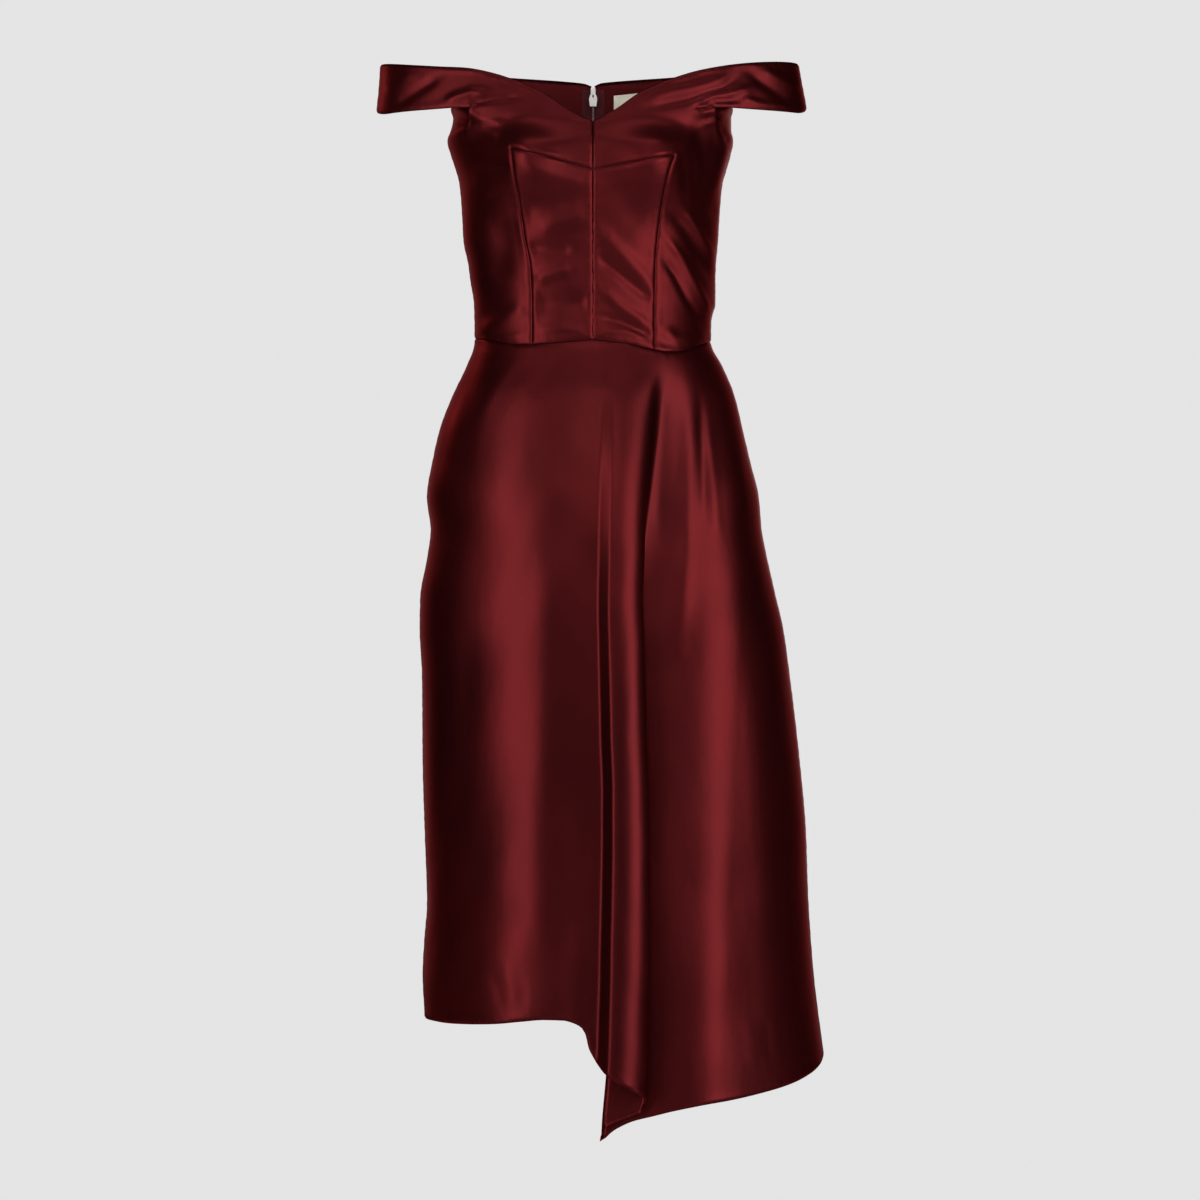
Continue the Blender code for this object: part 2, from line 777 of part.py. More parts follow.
def skirt_front_patch(line):
    table = section_table(skirt_front_section)
    crest = STEPS_SKIRT_LEFT + STEPS_FOLD[0] + STEPS_FOLD[1]
    valley = crest + STEPS_FOLD[2] + STEPS_FOLD[3] + STEPS_FOLD[4] // 2 + 1
    columns = []
    for column in range(table[1].shape[1]):
        top = waist_on(line, at_height(table, column, 0.0))
        foot = front_hem(table, column, crest, valley)
        heights = [top + (foot - top) * t for t in skirt_rows()]
        columns.append([(*at_height(table, column, z), z) for z in heights])
    return np.array(columns).transpose(1, 0, 2)


def skirt_back_patches(line):
    table = section_table(skirt_back_section)
    columns = []
    last = 2 * STEPS_SKIRT_BACK
    for column in range(last + 1):
        top = waist_on(line, at_height(table, column, 0.0))
        share = (column - STEPS_SKIRT_BACK) / STEPS_SKIRT_BACK
        edge = HEM_SIDE_LEFT if share < 0 else HEM_SIDE_RIGHT
        foot = HEM_BACK + (edge - HEM_BACK) * abs(share)
        heights = [top + (foot - top) * t for t in skirt_rows()]
        columns.append([(*at_height(table, column, z), z) for z in heights])
    patch = np.array(columns).transpose(1, 0, 2)
    return patch[:, : STEPS_SKIRT_BACK + 1], patch[:, STEPS_SKIRT_BACK:]


def open_pocket(patch, column, front):
    """Draws a side edge away from the seam between the pocket's ends, so that its mouth gapes."""
    points = patch.copy()
    for row in range(len(points)):
        z = points[row, column, 2]
        share = (POCKET_TOP - z) / (POCKET_TOP - POCKET_FOOT)
        if 0.0 < share < 1.0:
            gape = POCKET_GAPE * math.sin(math.pi * share ** GAPE_LOW)
            points[row, column, 1] += -GAPE_FRONT * gape if front else GAPE_BACK * gape
    return points


def make_facing(name, columns):
    """The pocket facing, made from the skirt's own points beside the seam and laid inside its wall."""
    patch = np.stack(columns, axis=1)
    kept = (patch[:, 1, 2] < FACING_TOP) & (patch[:, 1, 2] > FACING_FOOT)
    points, triangles = sewn([patch[kept]])
    triangles = facing_out(points, triangles, CENTRE)
    normals = own_normals(points, triangles)
    laid = points - (WALL + LAID_GAP) * normals
    solid, faces = wall_mesh(laid, triangles, normals, FACING_WALL, 0.0)
    add_object(name, solid, faces, SATIN, 0.4, 0.3)


def key_of(point):
    return tuple(np.round(point * KEYS_PER_MM + KEY_SHIFT).astype(int))


def sewn(patches):
    """Points and triangles of a panel whose patches share their edges."""
    index = {}
    points = []
    triangles = []
    for patch in patches:
        rows, columns, _ = patch.shape
        ids = np.empty((rows, columns), int)
        for i in range(rows):
            for j in range(columns):
                key = key_of(patch[i, j])
                if key not in index:
                    index[key] = len(points)
                    points.append(patch[i, j])
                ids[i, j] = index[key]
        for i in range(rows - 1):
            for j in range(columns - 1):
                a, b, c, d = ids[i, j], ids[i, j + 1], ids[i + 1, j + 1], ids[i + 1, j]
                if (i + j) % 2:
                    triangles += [(a, b, c), (a, c, d)]
                else:
                    triangles += [(a, b, d), (b, c, d)]
    triangles = [t for t in triangles if len(set(t)) == 3]
    return np.array(points), np.array(triangles)


def facing_out(points, triangles, inside):
    """The triangles turned so that they face away from the inner point."""
    corners = points[triangles]
    normals = np.cross(corners[:, 1] - corners[:, 0], corners[:, 2] - corners[:, 0])
    away = corners.mean(axis=1) - np.array(inside)
    away[:, 2] = 0.0
    return triangles if (normals * away).sum() > 0 else triangles[:, ::-1]


def corner_normals(points, triangles):
    corners = points[triangles]
    return np.cross(corners[:, 1] - corners[:, 0], corners[:, 2] - corners[:, 0])


def shared_normals(panels):
    """Normals of every point over all panels, so that neighbours stay parallel along a seam."""
    total = {}
    for points, triangles in panels.values():
        normals = corner_normals(points, triangles)
        for triangle, normal in zip(triangles, normals):
            for corner in triangle:
                key = key_of(points[corner])
                total[key] = total.get(key, np.zeros(3)) + normal
    return {key: value / np.linalg.norm(value) for key, value in total.items()}


def border_edges(triangles):
    edges = {}
    for a, b, c in triangles:
        for start, end in ((a, b), (b, c), (c, a)):
            edges[(start, end)] = edges.get((start, end), 0) + 1
    return [edge for edge in edges if (edge[1], edge[0]) not in edges]


def drawn_in(points, triangles, normals, distance):
    """The points with the panel's border moved into the panel by this distance."""
    inward = {}
    for start, end in border_edges(triangles):
        along_edge = points[end] - points[start]
        for corner in (start, end):
            direction = np.cross(normals[corner], along_edge)
            inward.setdefault(corner, []).append(direction / np.linalg.norm(direction))
    moved = points.copy()
    for corner, directions in inward.items():
        if len(directions) != 2:
            continue
        first, second = directions
        spread = 1 + float(first @ second)
        if spread > SHARPEST_MITRE:
            moved[corner] = points[corner] + distance * (first + second) / spread
    return moved


def wall_mesh(points, triangles, normals, wall, gap):
    """A cloth wall: the outer points drawn in at the border, the inner ones one wall behind, and a rim."""
    outer = drawn_in(points, triangles, normals, gap)
    inner = outer - wall * normals
    count = len(points)
    faces = [tuple(t) for t in triangles]
    faces += [tuple(int(v) + count for v in t[::-1]) for t in triangles]
    for start, end in border_edges(triangles):
        faces.append((end, start, start + count))
        faces.append((end, start + count, end + count))
    return np.concatenate([outer, inner]), faces


def add_object(name, points, faces, colour, roughness, metallic, origin=CENTRE):
    """Makes the node from points in millimetres, with its own material and its origin at the given point."""
    mesh = bpy.data.meshes.new(name)
    placed = (np.array(points) - np.array(origin)) * METRES
    mesh.from_pydata([tuple(p) for p in placed], [], [tuple(int(v) for v in f) for f in faces])
    mesh.validate()
    mesh.shade_smooth()
    mesh.set_sharp_from_angle(angle=SMOOTH_UNDER)
    obj = bpy.data.objects.new(name, mesh)
    obj.location = [METRES * v for v in origin]
    bpy.data.collections[COLLECTION].objects.link(obj)
    material = bpy.data.materials.new(name)
    material.use_nodes = True
    shader = material.node_tree.nodes["Principled BSDF"]
    shader.inputs["Base Color"].default_value = colour
    shader.inputs["Roughness"].default_value = roughness
    shader.inputs["Metallic"].default_value = metallic
    mesh.materials.append(material)
    return obj


def own_normals(points, triangles):
    totals = np.zeros(points.shape)
    normals = corner_normals(points, triangles)
    for k in range(3):
        np.add.at(totals, triangles[:, k], normals)
    return totals / np.linalg.norm(totals, axis=1)[:, None]


def add_wall(name, patches, inside, wall, colour, roughness):
    """A wall piece with its own normals, for what is laid on a panel."""
    points, triangles = sewn(patches)
    triangles = facing_out(points, triangles, inside)
    normals = own_normals(points, triangles)
    solid, faces = wall_mesh(points, triangles, normals, wall, 0.0)
    return add_object(name, solid, faces, colour, roughness, 0.0)


def back_surface(x, z, inset):
    """A point behind the plain back of the dress near the centre back, this far inside its outer face."""
    side = LEFT if x < 0 else RIGHT
    angle = angle_at(side, abs(x), z)
    ahead = body_point(side, False, angle_at(side, abs(x), z + 1.0), z + 1.0)
    here = body_point(side, False, angle, z)
    slope = ahead - here
    out = np.array((0.0, slope[2], -slope[1]))
    out = out / np.linalg.norm(out)
    return here - out * (inset + HIP_EASE * float(rise(4.0, -40.0, z)))


def back_strip(x_low, x_high, top, foot, inset):
    """A strip of points along the centre back, two cells wide."""
    across = spaced(x_low, x_high, 2)
    return np.array([[back_surface(x, z, inset) for x in across] for z in spaced(top, foot, ZIP_ROWS)])


def make_zip():
    """Two tapes inside the back beside its seam, and the coil that closes them."""
    inset = WALL + LAID_GAP
    tapes = (
        ("zip_tape_left", -TAPE_WIDTH, -TAPE_HALF_GAP),
        ("zip_tape_right", TAPE_HALF_GAP, TAPE_WIDTH),
    )
    for name, low, high in tapes:
        strip = back_strip(low, high, ZIP_TOP, ZIP_FOOT, inset)
        add_wall(name, [strip], INSIDE_BACK, TAPE_WALL, TAPE_COLOUR, 0.8)
    inset += TAPE_WALL + LAID_GAP
    top = SLIDER_FOOT - COIL_FROM_SLIDER
    strip = back_strip(-COIL_HALF, COIL_HALF, top, ZIP_FOOT + COIL_FROM_FOOT, inset)
    add_wall("zip_coil", [strip], INSIDE_BACK, COIL_WALL, COIL_COLOUR, 0.5)


def loft(name, rings, colour, roughness, metallic):
    """A closed solid through rings that have the same number of points."""
    count = len(rings[0])
    points = np.array([p for ring in rings for p in ring])
    faces = [tuple(range(count))[::-1]]
    for r in range(len(rings) - 1):
        for k in range(count):
            a = r * count + k
            b = r * count + (k + 1) % count
            faces.append((a, b, b + count, a + count))
    last = (len(rings) - 1) * count
    faces.append(tuple(last + k for k in range(count)))
    return add_object(name, points, faces, colour, roughness, metallic)


def rounded_ring(half_x, y_low, y_high, z, corners):
    """A ring of the slider in a level plane: a rectangle with its corners cut."""
    cut = min(half_x, 0.5 * (y_high - y_low)) * corners
    return [
        (half_x - cut, y_low, z),
        (half_x, y_low + cut, z),
        (half_x, y_high - cut, z),
        (half_x - cut, y_high, z),
        (-half_x + cut, y_high, z),
        (-half_x, y_high - cut, z),
        (-half_x, y_low + cut, z),
        (-half_x + cut, y_low, z),
    ]


def make_slider():
    """The slider sits on the inner face of the tapes, under the notch of the back neckline."""
    inset = WALL + TAPE_WALL + 2 * LAID_GAP
    behind = min(back_surface(0.0, z, inset)[1] for z in (SLIDER_FOOT, SLIDER_TOP))
    front = behind - SLIDER_DEPTH
    rings = []
    for share, half, thinner in SLIDER:
        z = SLIDER_FOOT + (SLIDER_TOP - SLIDER_FOOT) * share
        rings.append(rounded_ring(half, front + thinner, behind, z, SLIDER_CORNER))
    loft("zip_slider", rings, SLIDER_COLOUR, 0.3, 0.9)
    return front


def make_pull(front):
    """The pull tab: a flat teardrop with a hole, hanging inside the back, with its origin on its hinge."""
    right = [(half, PULL_TOP - PULL_LENGTH * share) for share, half in PULL]
    left = [(-half, z) for half, z in reversed(right)]
    outline = right + left
    count = len(outline)
    hole_z = PULL_TOP - HOLE_AT * PULL_LENGTH
    hole = []
    for x, z in outline:
        turn = math.atan2(z - hole_z, x)
        hole.append((HOLE_HALF_WIDTH * math.cos(turn), hole_z + HOLE_HALF_HEIGHT * math.sin(turn)))
    near = front - PULL_GAP
    points = []
    for y in (near, near - PULL_THICK):
        points += [(x, y, z) for x, z in outline]
        points += [(x, y, z) for x, z in hole]
    faces = []
    for k in range(count):
        m = (k + 1) % count
        o0, o1, h0, h1 = k, m, count + k, count + m
        p0, p1, q0, q1 = (v + 2 * count for v in (o0, o1, h0, h1))
        faces += [(o0, o1, h1, h0), (p0, q0, q1, p1), (o0, p0, p1, o1), (h0, h1, q1, q0)]
    hinge = (0.0, near - 0.5 * PULL_THICK, PULL_HINGE_Z)
    add_object("zip_pull", points, faces, PULL_COLOUR, 0.25, 0.9, hinge)


def make_label():
    """The blank label inside the back neck; its top edge follows the neckline."""
    inset = WALL + LAID_GAP
    low, high = LABEL_X

    def top(x):
        return LABEL_TOP[0] + (LABEL_TOP[1] - LABEL_TOP[0]) * (x - low) / (high - low)

    across = spaced(low, high, LABEL_STEPS)
    down = spaced(0.0, LABEL_HEIGHT, LABEL_STEPS)
    patch = np.array([[back_surface(x, top(x) - drop, inset) for x in across] for drop in down])
    add_wall("label", [patch], INSIDE_BACK, LABEL_WALL, LABEL_COLOUR, 0.7)


def clear_scene():
    for obj in list(bpy.data.objects):
        bpy.data.objects.remove(obj, do_unlink=True)
    holder = bpy.data.collections.new(COLLECTION)
    bpy.context.scene.collection.children.link(holder)


def build():
    clear_scene()
    cloth = {}
    front_feet = []
    back_feet = []
    for side, word in ((LEFT, "left"), (RIGHT, "right")):
        centre, outer = front_patches(side)
        back = back_patches(side)
        cloth["front_centre_" + word] = centre
        cloth["front_side_" + word] = outer
        cloth["back_" + word] = back
        front_feet += [centre[0], outer[1], outer[2]]
        back_feet += [back[0], back[1]]
    front = skirt_front_patch(waist_line(front_feet))
    back_left, back_right = skirt_back_patches(waist_line(back_feet))
    make_facing("pocket_left", [back_left[:, 1], front[:, 0], front[:, 1], front[:, 2]])
    make_facing("pocket_right", [front[:, -3], front[:, -2], front[:, -1], back_right[:, -2]])
    front = open_pocket(open_pocket(front, 0, True), -1, True)
    cloth["skirt_front"] = [front]
    cloth["skirt_back_left"] = [open_pocket(back_left, 0, False)]
    cloth["skirt_back_right"] = [open_pocket(back_right, -1, False)]
    panels = {}
    for name, patches in cloth.items():
        points, triangles = sewn(patches)
        panels[name] = (points, facing_out(points, triangles, CENTRE))
    normals = shared_normals(panels)
    for name, (points, triangles) in panels.items():
        own = np.array([normals[key_of(p)] for p in points])
        solid, faces = wall_mesh(points, triangles, own, WALL, SEAM_HALF_GAP)
        add_object(name, solid, faces, SATIN, 0.35, 0.35)
    make_zip()
    make_pull(make_slider())
    make_label()


build()
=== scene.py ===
"""Looks of the off-the-shoulder satin midi dress: creased panels, seams, zip, label, light and camera."""

import math

import bpy
import numpy as np
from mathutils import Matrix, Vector
from mathutils.kdtree import KDTree


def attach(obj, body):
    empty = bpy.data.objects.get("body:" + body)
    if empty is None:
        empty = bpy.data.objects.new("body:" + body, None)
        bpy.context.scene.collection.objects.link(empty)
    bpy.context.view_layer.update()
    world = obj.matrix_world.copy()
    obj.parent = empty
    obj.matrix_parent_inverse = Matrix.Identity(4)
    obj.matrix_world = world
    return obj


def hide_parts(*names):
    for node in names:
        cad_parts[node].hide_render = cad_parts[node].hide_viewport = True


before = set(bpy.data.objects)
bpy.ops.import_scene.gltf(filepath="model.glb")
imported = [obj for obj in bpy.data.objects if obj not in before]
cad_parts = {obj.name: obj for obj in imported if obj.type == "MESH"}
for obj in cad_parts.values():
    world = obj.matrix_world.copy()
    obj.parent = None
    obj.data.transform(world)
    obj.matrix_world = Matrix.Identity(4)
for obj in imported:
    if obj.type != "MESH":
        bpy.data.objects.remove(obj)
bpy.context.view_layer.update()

WAIST_EASE = 0.2
STEPS_IN_FOLD_STEP = 12
POINTS_PLAIN_SECTION = 361
# Heights at which the skirt's sections are worked out: top, foot, step.
SKIRT_LEVELS = (12.0, -832.0, -4.0)
SKIRT_LENGTH = 790.0
# First guesses where a column's end is found by repeated halving, and how often that is done.
NECK_GUESS = 270.0
HEM_GUESS = -740.0
TRIES = 40
# Points within a two hundredth of a millimetre are one. The shift keeps round sizes off the rounding edge.
KEYS_PER_MM = 200.0
KEY_SHIFT = 0.0137
# Body sections, hem to underarm: z, left half width, right half width, front depth, back depth, roundness.
SECTIONS = (
    (-830, 174, 244, 160, 166, 2.05), (-741, 174.5, 239.6, 158, 163, 2.05),
    (-701, 174.8, 234.5, 156, 160, 2.05), (-657, 176.8, 229.2, 154, 157, 2.05),
    (-617, 174.8, 226, 152, 155, 2.05), (-582, 172.2, 223.7, 150, 153, 2.05),
    (-506, 174.7, 221, 146, 149, 2.05), (-436, 176.8, 214.8, 142, 145, 2.1),
    (-346, 177.4, 204.4, 136, 139, 2.1), (-296, 179.9, 197.3, 133, 135, 2.15),
    (-264, 179.3, 189.8, 131, 133, 2.15), (-223, 172, 180.6, 128, 131, 2.2),
    (-194, 168.4, 175, 126, 129, 2.2), (-161, 172.2, 172, 123, 127, 2.2),
    (-120, 165.8, 162.2, 118, 122, 2.2), (-89, 158.6, 155, 113, 116, 2.2),
    (-54, 145.2, 146.6, 107, 107, 2.2), (-24, 131, 134, 98.5, 96, 2.2), (0, 122.8, 122.5, 93, 89, 2.2),
    (22, 122.9, 122.7, 93, 88, 2.2), (42, 123.6, 127, 93.5, 88.5, 2.2), (66, 127.4, 127, 94.5, 90, 2.2),
    (82, 129.3, 127.6, 95.5, 91, 2.2), (103, 134, 129.5, 97.5, 93, 2.2), (140, 136.3, 131.8, 103, 96, 2.2),
    (165, 138.6, 134.4, 106, 97.5, 2.2), (180, 142.5, 138.6, 106.5, 98, 2.2),
    (194, 147, 142.6, 106, 98, 2.2), (210, 151, 145.6, 104, 97.5, 2.2), (221, 147.2, 143.4, 102, 97, 2.2),
    (233, 145, 143.4, 100, 96, 2.2), (244, 149, 146.6, 99, 95, 2.2),
)
# Sections through chest and both sleeves: z, left half width, right half width, front depth, back depth.
WIDE_SECTIONS = (
    (228, 226, 224.5, 99, 93), (240, 225, 222.6, 98, 92.5), (265, 222.5, 218, 95, 91),
    (292, 220.8, 213, 91, 89),
)
WIDE_FROM = 195.0
WIDE_FULL = 235.0
# Cups: where the bust is fullest, how far it stands out and how far it spreads.
CUP_X = 74.0
CUP_Z = 178.0
CUP_OUT = 22.0
CUP_SPREAD_X = 40.0
CUP_SPREAD_Z = 40.0
# Princess seams: z, left distance from the centre, right distance.
PRINCESS = (
    (-14, 62, 62.9), (30, 61.9, 62.8), (74, 64, 63.5), (100, 69, 65.5), (140, 75, 71), (165, 80, 76.5),
    (190, 83, 84.2), (264, 88, 88),
)
CORNER_SHARE = 0.87
# Waist seam at the front: share of the half width, left z, right z.
WAIST = (
    (0, -2.1, -2.1), (0.12, -3.2, -3.6), (0.27, -4.6, -5.6), (0.49, -6.4, -11), (0.61, -6.3, -13.3),
    (0.72, -4.4, -12.4), (0.84, -1, -7.9), (1, 4.4, 1),
)
WAIST_BACK = 0.0
# Bust seam: z at the centre front, at the left princess seam and at the right one.
BUST_SEAM_CENTRE = 169.0
BUST_SEAM_LEFT = 191.3
BUST_SEAM_RIGHT = 183.6
UNDERARM_ROW = 191.0
# Front neckline: distance from the centre, left z, right z.
NECKLINE = (
    (0, 218.9, 218.9), (22, 229.5, 230.8), (50, 248.3, 250.3), (82, 263.2, 264.4), (105, 271, 272.2),
    (129, 276.4, 278), (158, 279.2, 283.2), (188, 283, 287), (226, 289.6, 291),
)
# Back neckline: distance from the centre, left z, right z.
BACK_NECKLINE = (
    (0, 278.6, 278.6), (3, 279.6, 280.2), (8, 281.6, 282.4), (14, 282.6, 283.2), (83, 286.8, 287.4),
    (140, 289, 290), (226, 289.6, 291),
)
# Lower edge of the sleeve bands: share from the armhole corner to the sleeve end, left z, right z.
BAND_EDGE_FRONT = (
    (0, 235.5, 235.5), (0.3, 234.6, 234.8), (0.65, 234.4, 235.4), (1, 239.8, 243),
)
BAND_EDGE_BACK = (
    (0, 254, 254), (0.3, 253, 253), (0.65, 249.5, 250.5), (1, 239.8, 243),
)
UNDERARM_SIDE = 243.0
# Hem of the front skirt up to the fold's crest: x, z.
HEM_LEFT = (
    (-175, -700), (-164, -698.6), (-153, -698.2), (-131, -696.6), (-98, -693.3), (-71, -689.7),
    (-48, -687.6), (-30, -687.8), (-19, -690.4), (-11, -695), (-7.5, -701), (-4.2, -714.6), (0.3, -723.6),
    (6.2, -733.5), (13, -740.5), (21, -746), (33, -752), (42, -757.8), (50, -763), (58, -767),
)
# Hem of the layer that turns back under the fold: share from crest to valley, z.
HEM_TURNED = (
    (0, -767), (0.5, -787), (0.9, -807), (1, -811),
)
# Hem of the front skirt from the fold's valley to the right side: x, z.
HEM_RIGHT = (
    (5, -812), (12.5, -807.9), (19.5, -801.4), (28.5, -796), (40.5, -790.7), (60, -785.5), (82.5, -779.7),
    (117, -773.2), (140.5, -770.3), (167, -766.3), (201, -759.6), (222, -752.8), (235, -745.9),
    (239.6, -741),
)
HEM_SIDE_LEFT = -700.0
HEM_SIDE_RIGHT = -741.0
HEM_BACK = -719.0
# The deep fold by height: z, x of its right edge, how far it has formed, length of the turned layer.
FOLD = (
    (-830, 52.5, 1, 35), (-786, 53.6, 1, 33), (-727, 55.5, 1, 30), (-657, 55.8, 1, 26), (-566, 55.7, 1, 21),
    (-466, 55, 0.98, 15), (-406, 53, 0.94, 11), (-346, 51.5, 0.88, 8), (-274, 50.6, 0.78, 4.5),
    (-192, 52.6, 0.6, 2.5), (-130, 54.7, 0.42, 2), (-68, 56.5, 0.2, 2), (-16, 57, 0, 2), (20, 57, 0, 2),
)
# Parts of the fold along the cloth: length at the waist, at the hem, headings in degrees at even spaces.
FOLD_PARTS = (
    (12, 17, (0, 2, 6, 58)),
    (44, 70, (58, 58, 57, 57, 56, 14, 8, 3, -2, -7, -12, -17, -22, -28, -34, -41, -48, -57, -66, -78, -90)),
    (8, 9.5, (-90, -175)), (0, 0, (-175, -175)), (12, 15.5, (-175, 0)),
)
FOLD_LIFT = 0.08
FOLD_RISE_LENGTH = 80.0
FOLD_FALL_LENGTH = 112.0
# Soft folds of the skirt front: x at the hem, share of it at the waist, height, half width, growth.
# They are lower than the solid's, because the listed creases stand on them.
FRONT_FOLDS = (
    (-88, 0.8, 5, 34, 1), (-34, 0.8, -1.5, 26, 1), (118, 0.8, 1, 30, 0.7), (172, 0.66, -1.5, 26, 0.9),
)
# Soft folds of the skirt back: x at the hem, share of it at the waist, height, half width, growth.
BACK_FOLDS = (
    (-132, 0.66, 9, 30, 1.3), (-92, 0.66, -8, 26, 1.3), (-46, 0.66, 10, 28, 1.4), (8, 0.66, -9, 28, 1.5),
    (62, 0.66, 11, 30, 1.4), (118, 0.66, -8, 28, 1.3), (172, 0.66, 9, 30, 1.3),
)
FOLDS_START = -40.0
FOLDS_FULL = -790.0
# How far from a side seam, the deep fold and the zip the soft folds are still fading in.
FADE_FRONT_SEAM = 45.0
FADE_BACK_SEAM = 50.0
FADE_CREST = 30.0
FADE_VALLEY = 45.0
FADE_ZIP = 24.0
ZIP_STIFF_TO = -170.0
ZIP_SOFT_FROM = -320.0
# Pocket mouths in the side seams, and the facing that closes each from inside.
POCKET_TOP = -62.0
POCKET_FOOT = -193.0
POCKET_GAPE = 5.0
GAPE_FRONT = 0.75
GAPE_BACK = 0.25
GAPE_LOW = 1.5
FACING_TOP = -40.0
FACING_FOOT = -222.0
LEFT = -1.0
RIGHT = 1.0
SIDES = ((LEFT, "left"), (RIGHT, "right"))

# Finer grids than the solids have: steps, then the size of the closest step at the start and at the end.
FINE_TO_BUST = (70, 0.0035, 0.0035)
FINE_TO_ARMHOLE = (16, 0.01, 0)
FINE_TO_NECK = (18, 0.02, 0.02)
FINE_DOWN_SKIRT = (150, 0.0012, 0.0012)
FINE_CENTRE = (30, 0.014, 0.014)
FINE_BUST = (22, 0.02, 0)
FINE_UNDERARM = (30, 0, 0.03)
FINE_BAND = (44, 0, 0.012)
FINE_BACK = (60, 0.01, 0)
FINE_SKIRT_LEFT = (85, 0.006, 0)
FINE_SKIRT_RIGHT = (85, 0, 0.006)
FINE_SKIRT_BACK = (75, 0.006, 0.006)
# The steps close to an end, in sizes of the closest one, and how far past them the even steps begin.
EDGE_STEPS = (1.0, 2.2, 4.0)
EDGE_CLEAR = 1.3
# Columns in each part of the fold. The valley lies a number of the solid's columns into the last part.
FINE_FOLD = (15, 45, 20, 15, 35)
FINE = 5
VALLEY_AT = 4
FOLD_TRIES = 6
GAPE_REACH = 16.0
THIN = 0.9
SEAM_GAP = 0.12

METRES = 0.001
FACING_BEHIND = 0.6
FACING_WALL = 0.6
# Turned seam allowances inside: columns and rows on each side, how far behind, wall, distance kept from ends.
ALLOWANCE = 4
ALLOWANCE_ROWS = 6
ALLOWANCE_BEHIND = 1.5
ALLOWANCE_WALL = 0.5
ALLOWANCE_CLEAR = 7.0
WAIST_ALLOWANCE = (-4.5, -1.5, 1.5, 4.5)
BESIDE_ZIP = 14.0
BAND_ALLOWANCE = (244.0, 288.0)
HEM_CLEAR = 4.0
FACING_CLEAR = 2.0
# Columns of the back and the front in a pocket's facing, and the column where its ends are measured.
FACING_BACK = 7
FACING_FRONT = 12
FACING_MEASURED = 6
# The zip and the label inside the back, as the solids have them.
WALL = 1.2
LAID_GAP = 0.3
HIP_EASE = 0.9
ZIP_TOP = 275.0
ZIP_FOOT = -150.0
TAPE_WALL = 1.0
TAPE_WIDTH = 12.0
TAPE_HALF_GAP = 0.35
COIL_TOP = 269.9
COIL_FOOT = -147.0
LABEL_X = (22.0, 70.0)
LABEL_TOP = (269.0, 273.5)
LABEL_HEIGHT = 30.0
# How the zip and the label look: sizes of the coil's wire, the threads and the folded edges.
COIL_PITCH = 1.35
COIL_STEPS = 10
COIL_APART = 0.68
COIL_REACH = 1.05
COIL_DEPTH = 0.42
WIRE_RADIUS = 0.2
THREAD_RADIUS = 0.17
STITCH_LENGTH = 2.3
STITCH_PITCH = 3.1
CLOTH_TAPE = 0.6
LABEL_CLOTH = 0.5
LABEL_FOLD = 4.0
# Small relief of the panels: swells, then dip, puff and puckers with their distance from the seam and reach.
SWELL_SKIRT = 0.22
SWELL_BODICE = 0.2
SWELL_TURNED_AWAY = 0.35
WAVE_RADIUS = 120.0
TOWARDS_FROM = 0.05
TOWARDS_FULL = 0.45
CREASE_CLEAR = 10.0
CREASE_AT_SEAM = 0.2
SEAM_DIP = (0.8, 0.0, 1.1)
SEAM_PUFF = (0.35, 4.0, 2.4)
PUCKER = (0.12, 3.0, 4.0)
# A crease: how many half widths it reaches, the share of its length where it tapers, its height at the ends.
STROKE_REACH = 3
STROKE_TAPER = 0.22
STROKE_ENDS = 0.25
# The camera, and the photograph's scale in millimetres for each of its units.
LENS = 115.4
SENSOR = 36.0
EYE_DISTANCE = 4000.0
EYE_X = 7.3
EYE_Z = -267.0
UNIT = 1.04
PICTURE_MIDDLE = 600
# Threads: a direction that no path follows, where stitches start, their points, rise, sink and thickness.
TUBE_START = (0.13, 0.71, 0.69)
STITCH_FIRST = 0.4
STITCH_POINTS = 6
STITCH_RISE = 0.22
STITCH_SINK = 0.08
THREAD_ENDS = 0.55
THREAD_SWELL = 0.45
THREAD_SIDES = 6
# The zip tapes: points across and down, then the corded edge as height, distance from the zip and reach.
TAPE_GRID = (25, 280)
TAPE_INSET = 0.5
TAPE_CORD = (0.3, 2.6, 0.5)
RIB_HEIGHT = 0.06
RIB_PITCH = 1.6
RIBS_FROM = 3.6
RIB_FIRST = 4.0
TAPE_CURL = 0.12
TAPE_CURL_FROM = 7.0
SEWING_ENDS = (4.0, 3.0)
SEWING_AT = 0.72
SEWING_INSET = 0.6
SEWING_SAMPLES = 200
COIL_INSET = 0.6
COIL_SAMPLES = 220
WIRE_SIDES = 5
# The label: points across and down, heights of its folded ends, of its lifted foot and of its swell.
LABEL_GRID = (41, 27)
LABEL_FOLD_HEIGHT = 0.28
LABEL_CURL = 0.5
LABEL_SWELL = 0.12
LABEL_LIFT = 0.12
LABEL_CURL_FROM = 0.55
LABEL_FOLD_STEP = 0.6
# Sewing of the label: distance from its ends, from its top, in front of its back face, points.
LABEL_SEWING = (0.8, 1.3, 0.45, 40)
# The thread bars: half length, then lifts and radii from end to end, and sides.
TACK_HALF = 1.6
TACK_LIFTS = (0.0, 0.35, 0.5, 0.35, 0.0)
TACK_RADII = (0.15, 0.26, 0.3, 0.26, 0.15)
TACK_SIDES = 8
# Points along the waist that are nearer than this are one.
SAME_PLACE = 0.05
# Degrees between faces from which an edge is bevelled or shaded sharp.
BEVEL_ANGLE = 32.0
SHARP_ANGLE = 60.0

